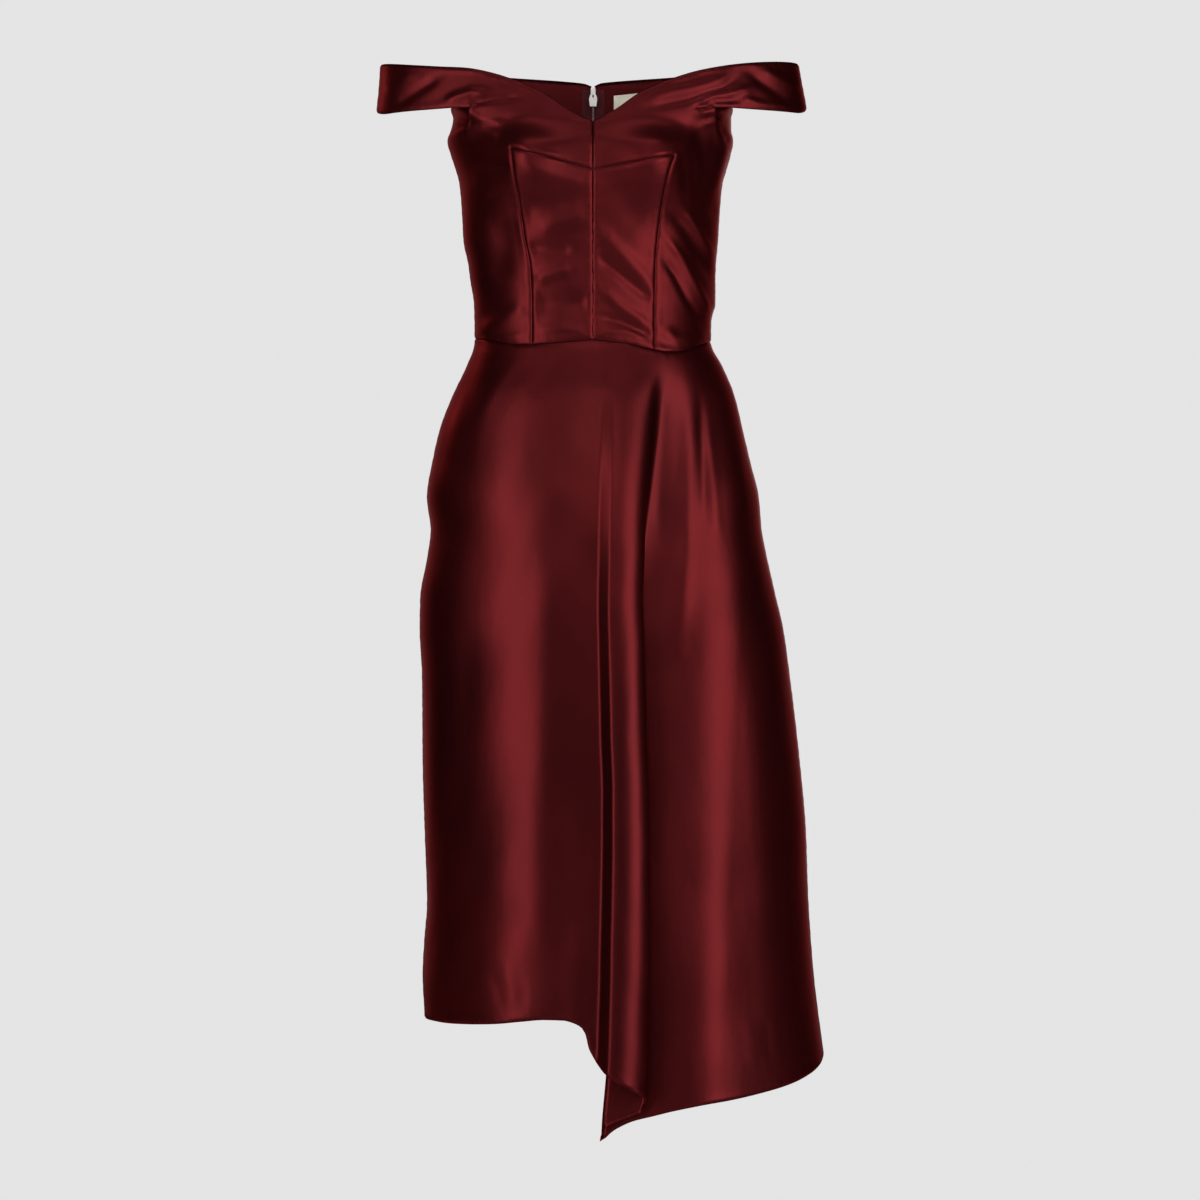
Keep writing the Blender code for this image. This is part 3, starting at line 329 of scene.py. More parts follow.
# Creases of the front in the photograph's units, x to the right and y down: height, half width, points.
BODICE_CREASES = (
    (1.3, 8, (384, 94), (400, 84), (414, 70)), (-1.6, 5, (396, 106), (414, 93), (440, 76)),
    (2.1, 4.5, (443, 104), (456, 97), (472, 92), (490, 94)),
    (-1.8, 4, (450, 110), (468, 104), (490, 99), (522, 96)), (1.6, 4, (464, 111), (480, 119), (506, 124)),
    (-2.1, 4.5, (449, 119), (462, 121), (476, 122)), (1.6, 7, (460, 134), (482, 130), (503, 134)),
    (0.8, 12, (505, 132), (545, 116), (584, 130)), (1.4, 6, (640, 101), (672, 92), (704, 86), (738, 75)),
    (-1.8, 5, (648, 106), (690, 98), (722, 88), (747, 69)),
    (2.2, 3.6, (694, 103), (712, 96), (735, 92), (754, 87)),
    (1.9, 3.4, (752, 90), (746, 100), (762, 105), (795, 109)),
    (-1.9, 3, (711, 101), (724, 102), (738, 100)), (-2.1, 3, (693, 107), (710, 106), (729, 108)),
    (1.4, 3, (697, 114), (712, 110), (728, 105)), (-1.9, 3, (703, 119), (720, 117), (737, 113)),
    (1.3, 2.8, (699, 127), (714, 121), (731, 114)), (1.8, 5, (760, 68), (782, 80), (801, 92)),
    (-1.8, 5, (748, 72), (766, 85), (790, 102)), (-2.4, 8, (698, 124), (703, 160), (700, 196)),
    (2.4, 7, (722, 122), (723, 150), (716, 196)), (-1.9, 3.6, (721, 126), (724, 134), (728, 143)),
    (-1.4, 5, (683, 157), (686, 175), (686, 193)), (-1.9, 7, (690, 206), (706, 206), (722, 213)),
    (-2.9, 7, (668, 208), (684, 226), (700, 252), (714, 284)),
    (1.6, 3.8, (684, 210), (699, 231), (714, 258)),
    (2.2, 4.5, (664, 234), (680, 256), (696, 286), (713, 319)),
    (-2.1, 4, (662, 256), (676, 276), (688, 300), (703, 324)),
    (2.6, 7, (659, 328), (676, 340), (694, 341), (709, 333)), (1.3, 6, (600, 171), (630, 165), (662, 158)),
    (-1.4, 14, (622, 180), (630, 205), (644, 226)), (2.1, 7, (597, 226), (620, 252), (656, 288)),
    (-2.2, 5.5, (597, 256), (622, 276), (655, 303)), (1.8, 5, (597, 284), (620, 306), (653, 328)),
    (-1.9, 4, (598, 316), (622, 322), (655, 338)), (1, 3, (598, 332), (626, 331), (650, 340)),
    (1.1, 8, (522, 166), (552, 174), (589, 184)), (-1.9, 10, (520, 208), (545, 205), (574, 197)),
    (1.9, 9, (536, 233), (562, 222), (589, 213)), (-1.9, 7, (525, 247), (548, 250), (574, 251)),
    (2.1, 7, (533, 281), (550, 274), (572, 267)), (-2.1, 10, (533, 305), (560, 302), (591, 305)),
    (1.1, 5, (533, 331), (562, 328), (590, 333)), (1.8, 11, (484, 164), (483, 184), (494, 198)),
    (-1, 4, (489, 170), (498, 165), (508, 167)), (-3, 15, (497, 212), (502, 246), (495, 284)),
    (2.2, 9, (475, 335), (500, 322), (529, 305)), (1.3, 3.6, (478, 333), (502, 337), (527, 337)),
)
SKIRT_CREASES = (
    (1.7, 9, (688, 380), (690, 449), (686, 560), (680, 650)), (-0.9, 5, (700, 396), (703, 450), (705, 520)),
    (0.9, 6, (706, 414), (713, 480), (718, 545)), (-1.2, 9, (662, 384), (660, 450), (658, 540)),
    (0.8, 8, (604, 350), (602, 372), (598, 400)), (-0.7, 9, (560, 352), (548, 372), (530, 398)),
    (0.7, 8, (520, 356), (500, 380), (478, 420)), (-0.9, 10, (476, 372), (466, 420), (458, 480)),
    (3.2, 24, (552, 500), (548, 640), (544, 800), (542, 900), (546, 1004)),
    (-1, 13, (470, 600), (462, 720), (458, 860)), (-0.35, 5, (492, 972), (498, 992), (500, 1009)),
    (0.4, 5, (503, 962), (510, 985), (512, 1009)), (-0.35, 4.5, (518, 968), (523, 990), (524, 1009)),
    (0.3, 5, (466, 986), (470, 1000), (471, 1010)),
    (3.6, 28, (654, 560), (654, 700), (654, 860), (658, 1040)),
    (0.8, 16, (746, 640), (756, 760), (764, 900), (770, 1020)),
    (0.3, 5.5, (748, 1020), (752, 1046), (753, 1068)), (-0.3, 5, (764, 1016), (768, 1040), (770, 1062)),
    (0.3, 4.5, (690, 1050), (692, 1066), (693, 1084)),
)

# Creases of the back in millimetres: height, half width, points.
BACK_CREASES = (
    (1.3, 8, (-8, 52), (-42, 36), (-84, 8)), (-1.3, 7, (-8, 34), (-40, 20), (-76, -2)),
    (1.1, 7, (-12, 88), (-50, 78), (-96, 44)), (-1.2, 9, (-20, 124), (-62, 112), (-108, 74)),
    (1.4, 8, (10, 46), (48, 30), (90, 4)), (-1.3, 6.5, (10, 66), (50, 54), (98, 26)),
    (1, 8, (14, 104), (56, 98), (104, 66)), (-1, 9, (16, 140), (60, 132), (110, 100)),
    (-1.2, 6, (-118, 246), (-96, 232), (-72, 212)), (1.2, 6, (-124, 232), (-104, 216), (-84, 192)),
    (1.1, 7, (-150, 262), (-116, 256), (-84, 260)), (-1.1, 6, (112, 248), (92, 230), (70, 214)),
    (1.2, 6, (122, 236), (104, 218), (86, 196)), (-1, 7, (150, 266), (118, 262), (86, 270)),
    (0.9, 7, (186, 280), (164, 266), (150, 252)), (0.9, 7, (-188, 282), (-166, 268), (-148, 256)),
    (-1, 12, (-60, -30), (-74, -80), (-84, -150)), (1.2, 12, (-34, -34), (-40, -110), (-46, -220)),
    (-1, 11, (36, -30), (48, -90), (58, -180)), (1.1, 13, (74, -40), (88, -120), (98, -240)),
    (1, 5, (-3, -170), (-16, -190), (-34, -226)), (-1, 5, (5, -168), (16, -196), (30, -240)),
)


def through(rows, column, at):
    """A smooth curve through one column of a table, which never overshoots its rows."""
    table = np.array(rows, float)
    xs = table[:, 0]
    ys = table[:, column]
    at = np.clip(np.asarray(at, float), xs[0], xs[-1])
    gaps = np.diff(xs)
    slopes = np.diff(ys) / gaps
    ends = np.zeros(len(xs))
    ends[0] = slopes[0]
    ends[-1] = slopes[-1]
    same = slopes[:-1] * slopes[1:] > 0
    low = 2 * gaps[1:] + gaps[:-1]
    high = gaps[1:] + 2 * gaps[:-1]
    safe = np.where(same, slopes[:-1] * slopes[1:], 1.0)
    mean = (low + high) * safe / (low * slopes[1:] + high * slopes[:-1] + np.where(same, 0.0, 1e9))
    ends[1:-1] = np.where(same, mean, 0.0)
    k = np.clip(np.searchsorted(xs, at, side="right") - 1, 0, len(gaps) - 1)
    t = (at - xs[k]) / gaps[k]
    value = ys[k] * (1 + 2 * t) * (1 - t) ** 2
    value = value + ends[k] * gaps[k] * t * (1 - t) ** 2
    value = value + ys[k + 1] * t * t * (3 - 2 * t)
    return value + ends[k + 1] * gaps[k] * t * t * (t - 1)


def rise(start, full, at):
    """0 before start, 1 after full, smooth between, in either direction."""
    t = np.clip((np.asarray(at, float) - start) / (full - start), 0.0, 1.0)
    return t * t * (3 - 2 * t)


def steps(count, at_low=0.0, at_high=0.0):
    """Shares from 0 to 1, with three more steps close to each end that has a size, for the edge there."""
    plain = np.linspace(0.0, 1.0, count + 1)
    low = at_low * EDGE_STEPS[-1] * EDGE_CLEAR
    high = 1 - at_high * EDGE_STEPS[-1] * EDGE_CLEAR
    inner = plain[(plain > low) & (plain < high)]
    near_low = [at_low * k for k in EDGE_STEPS] if at_low else []
    near_high = [1 - at_high * k for k in EDGE_STEPS] if at_high else []
    return np.unique(np.concatenate([[0.0], near_low, inner, near_high, [1.0]]))


TO_BUST = steps(*FINE_TO_BUST)
TO_ARMHOLE = steps(*FINE_TO_ARMHOLE)
TO_NECK = steps(*FINE_TO_NECK)
DOWN_SKIRT = steps(*FINE_DOWN_SKIRT)


def bell(height, centre, reach, at):
    """A soft ridge of this height and half width about its centre."""
    return height * np.exp(-(((at - centre) / reach) ** 2))


def side_column(side):
    return 1 if side < 0 else 2


def on_side(rows, side, at):
    return through(rows, side_column(side), at)


def half_width(side, z):
    return on_side(SECTIONS, side, z)


def depth_of(front, z):
    return through(SECTIONS, 3 if front else 4, z)


def torso(side, front, angle, z):
    """Points of the body sections at these heights. The angle runs from the centre, 0, to the side seam."""
    n = through(SECTIONS, 5, z)
    width = half_width(side, z)
    x = width * np.sin(angle) ** (2 / n)
    y = depth_of(front, z) * np.maximum(np.cos(angle), 0.0) ** (2 / n)
    if front:
        spread = ((x - CUP_X) / CUP_SPREAD_X) ** 2 + ((z - CUP_Z) / CUP_SPREAD_Z) ** 2
        y = y + CUP_OUT * np.exp(-spread) * (1 - (x / width) ** 4)
    return x, y


def wide_depth(side, front, x, z):
    width = on_side(WIDE_SECTIONS, side, z)
    depth = through(WIDE_SECTIONS, 3 if front else 4, z)
    return depth * np.sqrt(np.maximum(0.0, 1 - (x / width) ** 2))


def angle_at(side, x, z):
    n = through(SECTIONS, 5, z)
    return np.arcsin(np.minimum(1.0, x / half_width(side, z)) ** (n / 2))


def corner_angle(side, z):
    return angle_at(side, CORNER_SHARE * half_width(side, z), z)


def placed(side, front, x, y, z):
    return np.stack([side * x, -y if front else y, z + 0.0 * x], axis=-1)


def body_point(side, front, angle, z):
    x, y = torso(side, front, angle, z)
    share = rise(WIDE_FROM, WIDE_FULL, z)
    return placed(side, front, x, (1 - share) * y + share * wide_depth(side, front, x, z), z)


def underarm_point(side, front, share, z):
    corner = corner_angle(side, z)
    x, y = torso(side, front, corner + (math.pi / 2 - corner) * share, z)
    corner_x, corner_y = torso(side, front, corner, z)
    pulled = rise(WIDE_FROM, WIDE_FULL, z) * (wide_depth(side, front, corner_x, z) - corner_y)
    y = y + pulled * (1 - share) ** 2 * (1 + 2 * share)
    return placed(side, front, x, np.where(share == 1.0, 0.0, y), z)


def band_point(side, front, share, z):
    width = on_side(WIDE_SECTIONS, side, z)
    x = torso(side, front, corner_angle(side, z), z)[0]
    start = np.arcsin(np.minimum(1.0, x / width))
    x = width * np.sin(start + (math.pi / 2 - start) * share)
    y = wide_depth(side, front, x, z)
    return placed(side, front, x, np.where(share == 1.0, 0.0, y), z)


def waist_z(side, front, share):
    if front:
        return on_side(WAIST, side, share)
    return WAIST_BACK + (WAIST[-1][side_column(side)] - WAIST_BACK) * share ** 3


def neck_z(side, front, x):
    return on_side(NECKLINE if front else BACK_NECKLINE, side, np.abs(x))


def between(low, high, shares):
    return low[None, :] + (high - low)[None, :] * shares[:, None]


def centre_angle(side, share, z):
    return angle_at(side, on_side(PRINCESS, side, z) * share, z)


def bust_angle(side, share, z):
    low = centre_angle(side, 1.0, z)
    return low + (corner_angle(side, z) - low) * share


def back_angle(side, share, z):
    return corner_angle(side, z) * share


def underarm_angle(side, share, z):
    corner = corner_angle(side, z)
    return corner + (math.pi / 2 - corner) * share


def meets(line, point_x, guess, count):
    """Heights at which columns meet a line that is given by distance from the centre."""
    z = np.full(count, guess)
    for _ in range(TRIES):
        z = 0.5 * z + 0.5 * line(point_x(z), z)
    return z


def waist_heights(side, front, angle_of, shares):
    def line(x, z):
        return waist_z(side, front, np.minimum(1.0, x / half_width(side, z)))

    return meets(line, lambda z: torso(side, front, angle_of(side, shares, z), z)[0], 0.0, len(shares))


def inner_patch(side, front, angle_of, shares, bust_of, armhole_of):
    """Columns from waist to neckline: heights in three runs that meet at the bust row and the armhole row."""
    foot = waist_heights(side, front, angle_of, shares)
    neck = meets(
        lambda x, z: neck_z(side, front, x),
        lambda z: torso(side, front, angle_of(side, shares, z), z)[0],
        NECK_GUESS,
        len(shares),
    )
    bust = bust_of(shares) + 0.0 * shares
    armhole = armhole_of(shares, neck)
    z = np.concatenate([
        between(foot, bust, TO_BUST),
        between(bust, armhole, TO_ARMHOLE)[1:],
        between(armhole, neck, TO_NECK)[1:],
    ])
    return body_point(side, front, angle_of(side, shares[None, :], z), z)


def underarm_patch(side, front):
    shares = steps(*FINE_UNDERARM)
    foot = waist_heights(side, front, underarm_angle, shares)
    corner = (BAND_EDGE_FRONT if front else BAND_EDGE_BACK)[0][1]
    armhole = corner + (UNDERARM_SIDE - corner) * shares * shares * (3 - 2 * shares)
    row = np.full(len(shares), UNDERARM_ROW)
    z = np.concatenate([between(foot, row, TO_BUST), between(row, armhole, TO_ARMHOLE)[1:]])
    return underarm_point(side, front, shares[None, :], z)


def band_patch(side, front):
    shares = steps(*FINE_BAND)
    foot = on_side(BAND_EDGE_FRONT if front else BAND_EDGE_BACK, side, shares)
    neck = meets(
        lambda x, z: neck_z(side, front, x),
        lambda z: band_point(side, front, shares, z)[:, 0],
        NECK_GUESS,
        len(shares),
    )
    z = between(foot, neck, TO_NECK)
    return band_point(side, front, shares[None, :], z)


def bust_seam_z(side, share):
    edge = BUST_SEAM_LEFT if side < 0 else BUST_SEAM_RIGHT
    return BUST_SEAM_CENTRE + (edge - BUST_SEAM_CENTRE) * share


def front_patches(side):
    seam_end = bust_seam_z(side, 1.0)

    def armhole(share, neck):
        at_princess = seam_end + 0.5 * (neck - seam_end)
        return at_princess + (BAND_EDGE_FRONT[0][1] - at_princess) * share

    centre = inner_patch(
        side, True, centre_angle, steps(*FINE_CENTRE),
        lambda share: bust_seam_z(side, share),
        lambda share, neck: bust_seam_z(side, share) + 0.5 * (neck - bust_seam_z(side, share)),
    )
    bust = inner_patch(
        side, True, bust_angle, steps(*FINE_BUST),
        lambda share: seam_end + (UNDERARM_ROW - seam_end) * share,
        armhole,
    )
    last = len(TO_BUST)
    return [centre[:last]], [centre[last - 1 :], bust, underarm_patch(side, True), band_patch(side, True)]


def back_patches(side):
    def armhole(share, neck):
        at_centre = UNDERARM_ROW + 0.5 * (neck - UNDERARM_ROW)
        return at_centre + (BAND_EDGE_BACK[0][1] - at_centre) * share

    body = inner_patch(side, False, back_angle, steps(*FINE_BACK), lambda share: UNDERARM_ROW, armhole)
    return [body, underarm_patch(side, False), band_patch(side, False)]


def base_curve(front, z):
    """The plain section of the skirt at this height, left to right: points, outward directions, run."""
    angles = np.linspace(-math.pi / 2, math.pi / 2, POINTS_PLAIN_SECTION)
    n = float(through(SECTIONS, 5, z))
    widths = np.where(angles < 0, half_width(LEFT, z), half_width(RIGHT, z))
    x = widths * np.sign(angles) * np.abs(np.sin(angles)) ** (2 / n)
    y = depth_of(front, z) * np.abs(np.cos(angles)) ** (2 / n)
    y[0] = 0.0
    y[-1] = 0.0
    points = np.stack([x, -y if front else y], axis=1)
    turns = np.gradient(points, axis=0)
    turns /= np.linalg.norm(turns, axis=1)[:, None]
    out = np.stack([turns[:, 1], -turns[:, 0]], axis=1)
    if not front:
        out = -out
    run = np.concatenate([[0.0], np.cumsum(np.linalg.norm(np.diff(points, axis=0), axis=1))])
    return points, out, run


def along(curve, run):
    points, out, runs = curve
    place = np.stack([np.interp(run, runs, points[:, k]) for k in (0, 1)], axis=1)
    away = np.stack([np.interp(run, runs, out[:, k]) for k in (0, 1)], axis=1)
    return place, away / np.linalg.norm(away, axis=1)[:, None]


def soft_folds(rows, x, z):
    total = np.zeros(len(x))
    grown = min(1.0, max(0.0, (FOLDS_START - z) / (FOLDS_START - FOLDS_FULL)))
    for centre, at_waist, height, half, growth in rows:
        spread = at_waist + (1 - at_waist) * min(1.0, max(0.0, -z / SKIRT_LENGTH))
        total += height * grown ** growth * np.exp(-(((x - centre * spread) / (half * spread)) ** 2))
    return total


def fold_path(z):
    """The deep fold at this height in the plane of run and height above the plain section, by columns."""
    down = min(1.0, max(0.0, -z / SKIRT_LENGTH))
    formed = float(through(FOLD, 2, z))
    run = [0.0]
    height = [0.0]
    marks = [0]
    for part, count_steps in zip(FOLD_PARTS, FINE_FOLD):
        length = part[0] + (part[1] - part[0]) * down
        if length == 0.0:
            length = float(through(FOLD, 3, z))
        count = count_steps * STEPS_IN_FOLD_STEP
        at = (np.arange(count) + 0.5) / count * (len(part[2]) - 1)
        heading = np.radians(np.interp(at, np.arange(len(part[2])), part[2])) * formed
        run += list(run[-1] + np.cumsum(length / count * np.cos(heading)))
        height += list(height[-1] + np.cumsum(length / count * np.sin(heading)))
        marks += [marks[-1] + STEPS_IN_FOLD_STEP * (k + 1) for k in range(count_steps)]
    return np.array(run)[marks], np.array(height)[marks], sum(FINE_FOLD[:2])


def skirt_front_section(z):
    """Every column of the skirt front at this height, from the left side seam to the right one."""
    curve = base_curve(True, z)
    points, _, runs = curve
    last = float(runs[-1])
    fold_run, fold_height, crest = fold_path(z)
    lift = -FOLD_LIFT * fold_height[-1]
    edge = float(through(FOLD, 1, z))
    target = edge
    for _ in range(FOLD_TRIES):
        start = float(np.interp(target, points[:, 0], runs)) - fold_run[crest]
        place, away = along(curve, np.array([start + fold_run[crest]]))
        target += edge - (place[0, 0] + away[0, 0] * (lift + fold_height[crest]))
    end = start + fold_run[-1]
    before = start * steps(*FINE_SKIRT_LEFT)
    after = end + (last - end) * steps(*FINE_SKIRT_RIGHT)
    rise_length = min(FOLD_RISE_LENGTH, start)
    fall_length = min(FOLD_FALL_LENGTH, last - end)
    left = lift * rise(start - rise_length, start, before)
    x_left = np.interp(before, runs, points[:, 0])
    at_seam = rise(0.0, FADE_FRONT_SEAM, before)
    at_crest = 1 - rise(start - FADE_CREST, start, before)
    left = left + soft_folds(FRONT_FOLDS, x_left, z) * at_crest * at_seam
    right = (lift + fold_height[-1]) * (1 - rise(end, end + fall_length, after))
    x_right = np.interp(after, runs, points[:, 0])
    at_seam = 1 - rise(last - FADE_FRONT_SEAM, last, after)
    at_valley = rise(end, end + FADE_VALLEY, after)
    right = right + soft_folds(FRONT_FOLDS, x_right, z) * at_valley * at_seam
    run = np.concatenate([before, start + fold_run[1:-1], after])
    height = np.concatenate([left, lift + fold_height[1:-1], right])
    place, away = along(curve, run)
    return place + away * height[:, None]


def skirt_back_section(z):
    """Every column of the skirt back at this height, left to right; the middle one is the zip's line."""
    curve = base_curve(False, z)
    points, _, runs = curve
    middle = float(np.interp(0.0, points[:, 0], runs))
    last = float(runs[-1])
    left = middle * steps(*FINE_SKIRT_BACK)
    right = middle + (last - middle) * steps(*FINE_SKIRT_BACK)
    run = np.concatenate([left, right[1:]])
    place, away = along(curve, run)
    at_seams = rise(0.0, FADE_BACK_SEAM, run) * (1 - rise(last - FADE_BACK_SEAM, last, run))
    from_zip = rise(0.0, FADE_ZIP, np.abs(run - middle))
    at_zip = from_zip + (1 - from_zip) * rise(ZIP_STIFF_TO, ZIP_SOFT_FROM, z)
    height = soft_folds(BACK_FOLDS, place[:, 0], z) * at_seams * at_zip
    return place + away * height[:, None]


def section_table(section):
    levels = np.arange(*SKIRT_LEVELS)
    return levels, np.array([section(float(z)) for z in levels])


def at_heights(table, column, z):
    levels, sections = table
    return np.stack([np.interp(z, levels[::-1], sections[::-1, column, k]) for k in (0, 1)], axis=-1)


def waist_line(patches):
    """The bodice's lower edge as turn about the centre and height."""
    feet = np.concatenate([patch[0] for patch in patches])
    turn = np.arctan2(feet[:, 0], np.abs(feet[:, 1]))
    order = np.argsort(turn)
    return turn[order], feet[order, 2]


def waist_on(line, place):
    return float(np.interp(math.atan2(place[0], abs(place[1])), line[0], line[1])) - WAIST_EASE


def front_hem(table, column, crest, valley):
    if column == 0:
        return HEM_SIDE_LEFT
    if column == table[1].shape[1] - 1:
        return HEM_SIDE_RIGHT
    if crest < column < valley:
        return float(through(HEM_TURNED, 1, (column - crest) / (valley - crest)))
    z = HEM_GUESS
    for _ in range(TRIES):
        x = at_heights(table, column, z)[0]
        z = 0.5 * z + 0.5 * float(through(HEM_LEFT if column <= crest else HEM_RIGHT, 1, x))
    return z


def skirt_patch(table, line, foot_of):
    columns = []
    for column in range(table[1].shape[1]):
        top = waist_on(line, at_heights(table, column, 0.0))
        z = top + (foot_of(column) - top) * DOWN_SKIRT
        columns.append(np.concatenate([at_heights(table, column, z), z[:, None]], axis=1))
    return np.array(columns).transpose(1, 0, 2)


def skirt_front_patch(line):
    table = section_table(skirt_front_section)
    left = len(steps(*FINE_SKIRT_LEFT)) - 1
    crest = left + sum(FINE_FOLD[:2])
    valley = crest + sum(FINE_FOLD[2:4]) + VALLEY_AT * FINE
    return skirt_patch(table, line, lambda column: front_hem(table, column, crest, valley))


def skirt_back_patches(line):
    table = section_table(skirt_back_section)
    middle = table[1].shape[1] // 2

    def foot(column):
        share = (column - middle) / middle
        edge = HEM_SIDE_LEFT if share < 0 else HEM_SIDE_RIGHT
        return HEM_BACK + (edge - HEM_BACK) * abs(share)

    patch = skirt_patch(table, line, foot)
    return patch[:, : middle + 1], patch[:, middle:]


def open_pocket(patch, column, front):
    """Draws a side edge away from the seam between the pocket's ends, so that its mouth gapes."""
    points = patch.copy()
    edge = patch[:, column]
    near = np.linalg.norm(patch - edge[:, None], axis=2)
    share = (POCKET_TOP - edge[:, 2]) / (POCKET_TOP - POCKET_FOOT)
    inside = (share > 0) & (share < 1)
    gape = np.where(inside, POCKET_GAPE * np.sin(math.pi * np.clip(share, 0, 1) ** GAPE_LOW), 0.0)
    fade = np.clip(1 - near / GAPE_REACH, 0.0, 1.0) ** 2
    points[:, :, 1] += (-GAPE_FRONT if front else GAPE_BACK) * gape[:, None] * fade
    return points


def keys_of(points):
    return np.round(points * KEYS_PER_MM + KEY_SHIFT).astype(np.int64)


def sewn(patches):
    """Points and triangles of a panel whose patches share their edges."""
    loose = []
    quads = []
    base = 0
    for patch in patches:
        rows, columns, _ = patch.shape
        ids = base + np.arange(rows * columns).reshape(rows, columns)
        a, b, c, d = ids[:-1, :-1], ids[:-1, 1:], ids[1:, 1:], ids[1:, :-1]
        quads.append(np.stack([a, b, c, d], axis=-1).reshape(-1, 4))
        loose.append(patch.reshape(-1, 3))
        base += rows * columns
    loose = np.concatenate(loose)
    _, first, index = np.unique(keys_of(loose), axis=0, return_index=True, return_inverse=True)
    quads = index.reshape(-1)[np.concatenate(quads)]
    corners = loose[first][quads]
    shorter = (
        np.linalg.norm(corners[:, 0] - corners[:, 2], axis=1)
        <= np.linalg.norm(corners[:, 1] - corners[:, 3], axis=1)
    )[:, None]
    one = np.where(shorter, quads[:, [0, 1, 2]], quads[:, [0, 1, 3]])
    two = np.where(shorter, quads[:, [0, 2, 3]], quads[:, [1, 2, 3]])
    triangles = np.concatenate([one, two])
    whole = (
        (triangles[:, 0] != triangles[:, 1])
        & (triangles[:, 1] != triangles[:, 2])
        & (triangles[:, 0] != triangles[:, 2])
    )
    return loose[first], triangles[whole]


def face_normals(points, triangles):
    corners = points[triangles]
    return np.cross(corners[:, 1] - corners[:, 0], corners[:, 2] - corners[:, 0])


def facing_out(points, triangles, inside=(0.0, 0.0, 0.0)):
    away = points[triangles].mean(axis=1) - np.array(inside)
    away[:, 2] = 0.0
    return triangles if (face_normals(points, triangles) * away).sum() > 0 else triangles[:, ::-1]


def summed(points, triangles):
    totals = np.zeros(points.shape)
    normals = face_normals(points, triangles)
    for k in range(3):
        np.add.at(totals, triangles[:, k], normals)
    return totals


def unit(vectors):
    return vectors / np.maximum(np.linalg.norm(vectors, axis=-1, keepdims=True), 1e-9)


def one_sheet(patch, facing):
    """Points, triangles and normals of one patch that faces outward, 1, or inward, -1."""
    points, triangles = sewn([patch])
    triangles = facing_out(points, triangles)[:, ::facing]
    return points, triangles, unit(summed(points, triangles))


def shared_normals(panels):
    """Normals of every point over all panels, so that neighbours stay parallel along a seam."""
    names = list(panels)
    points = np.concatenate([panels[n][0] for n in names])
    totals = np.concatenate([summed(*panels[n]) for n in names])
    _, index = np.unique(keys_of(points), axis=0, return_inverse=True)
    index = index.reshape(-1)
    joined = np.zeros((index.max() + 1, 3))
    np.add.at(joined, index, totals)
    normals = unit(joined)[index]
    cuts = np.cumsum([len(panels[n][0]) for n in names])[:-1]
    return dict(zip(names, np.split(normals, cuts)))


def border_of(triangles):
    """The edges that only one triangle has, as start and end."""
    edges = np.concatenate([triangles[:, [0, 1]], triangles[:, [1, 2]], triangles[:, [2, 0]]])
    size = int(triangles.max()) + 1
    forward = edges[:, 0] * size + edges[:, 1]
    backward = edges[:, 1] * size + edges[:, 0]
    return edges[~np.isin(forward, backward)]


def edge_distance(points, border):
    """How far each point is from the nearest point of its panel's border."""
    tree = KDTree(len(border))
    for k, v in enumerate(border):
        tree.insert(points[v], k)
    tree.balance()
    return np.array([tree.find(p)[2] for p in points])


def shell(points, triangles, normals, wall, gap):
    """A cloth wall with its border drawn in by the gap: outer points, inner points and a rim."""
    border = border_of(triangles)
    pull = np.zeros(points.shape)
    for start, end in border:
        along_edge = points[end] - points[start]
        for corner in (start, end):
            direction = np.cross(normals[corner], along_edge)
            pull[corner] += direction / max(np.linalg.norm(direction), 1e-9)
    outer = points + gap * unit(pull)
    inner = outer - wall * normals
    count = len(points)
    rim = np.concatenate([
        np.stack([border[:, 1], border[:, 0], border[:, 0] + count], axis=1),
        np.stack([border[:, 1], border[:, 0] + count, border[:, 1] + count], axis=1),
    ])
    return np.concatenate([outer, inner]), np.concatenate([triangles, triangles[:, ::-1] + count, rim])


def add_piece(name, points, faces, material, body="dress"):
    mesh = bpy.data.meshes.new(name)
    mesh.vertices.add(len(points))
    mesh.vertices.foreach_set("co", (np.asarray(points, np.float32) * METRES).ravel())
    mesh.loops.add(3 * len(faces))
    mesh.loops.foreach_set("vertex_index", np.asarray(faces, np.int32).ravel())
    mesh.polygons.add(len(faces))
    mesh.polygons.foreach_set("loop_start", np.arange(0, 3 * len(faces), 3, dtype=np.int32))
    mesh.update(calc_edges=True)
    mesh.validate()
    mesh.shade_smooth()
    mesh.set_sharp_from_angle(angle=math.radians(SHARP_ANGLE))
    mesh.materials.append(material)
    obj = bpy.data.objects.new(name, mesh)
    bpy.context.scene.collection.objects.link(obj)
    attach(obj, body)
    return obj


def seen(points):
    """Where the photograph's camera sees these points, in the photograph's own units."""
    near = EYE_DISTANCE / (EYE_DISTANCE + points[:, 1])
    u = PICTURE_MIDDLE + (points[:, 0] - EYE_X) * near / UNIT
    v = PICTURE_MIDDLE - (points[:, 2] - EYE_Z) * near / UNIT
    return u, v


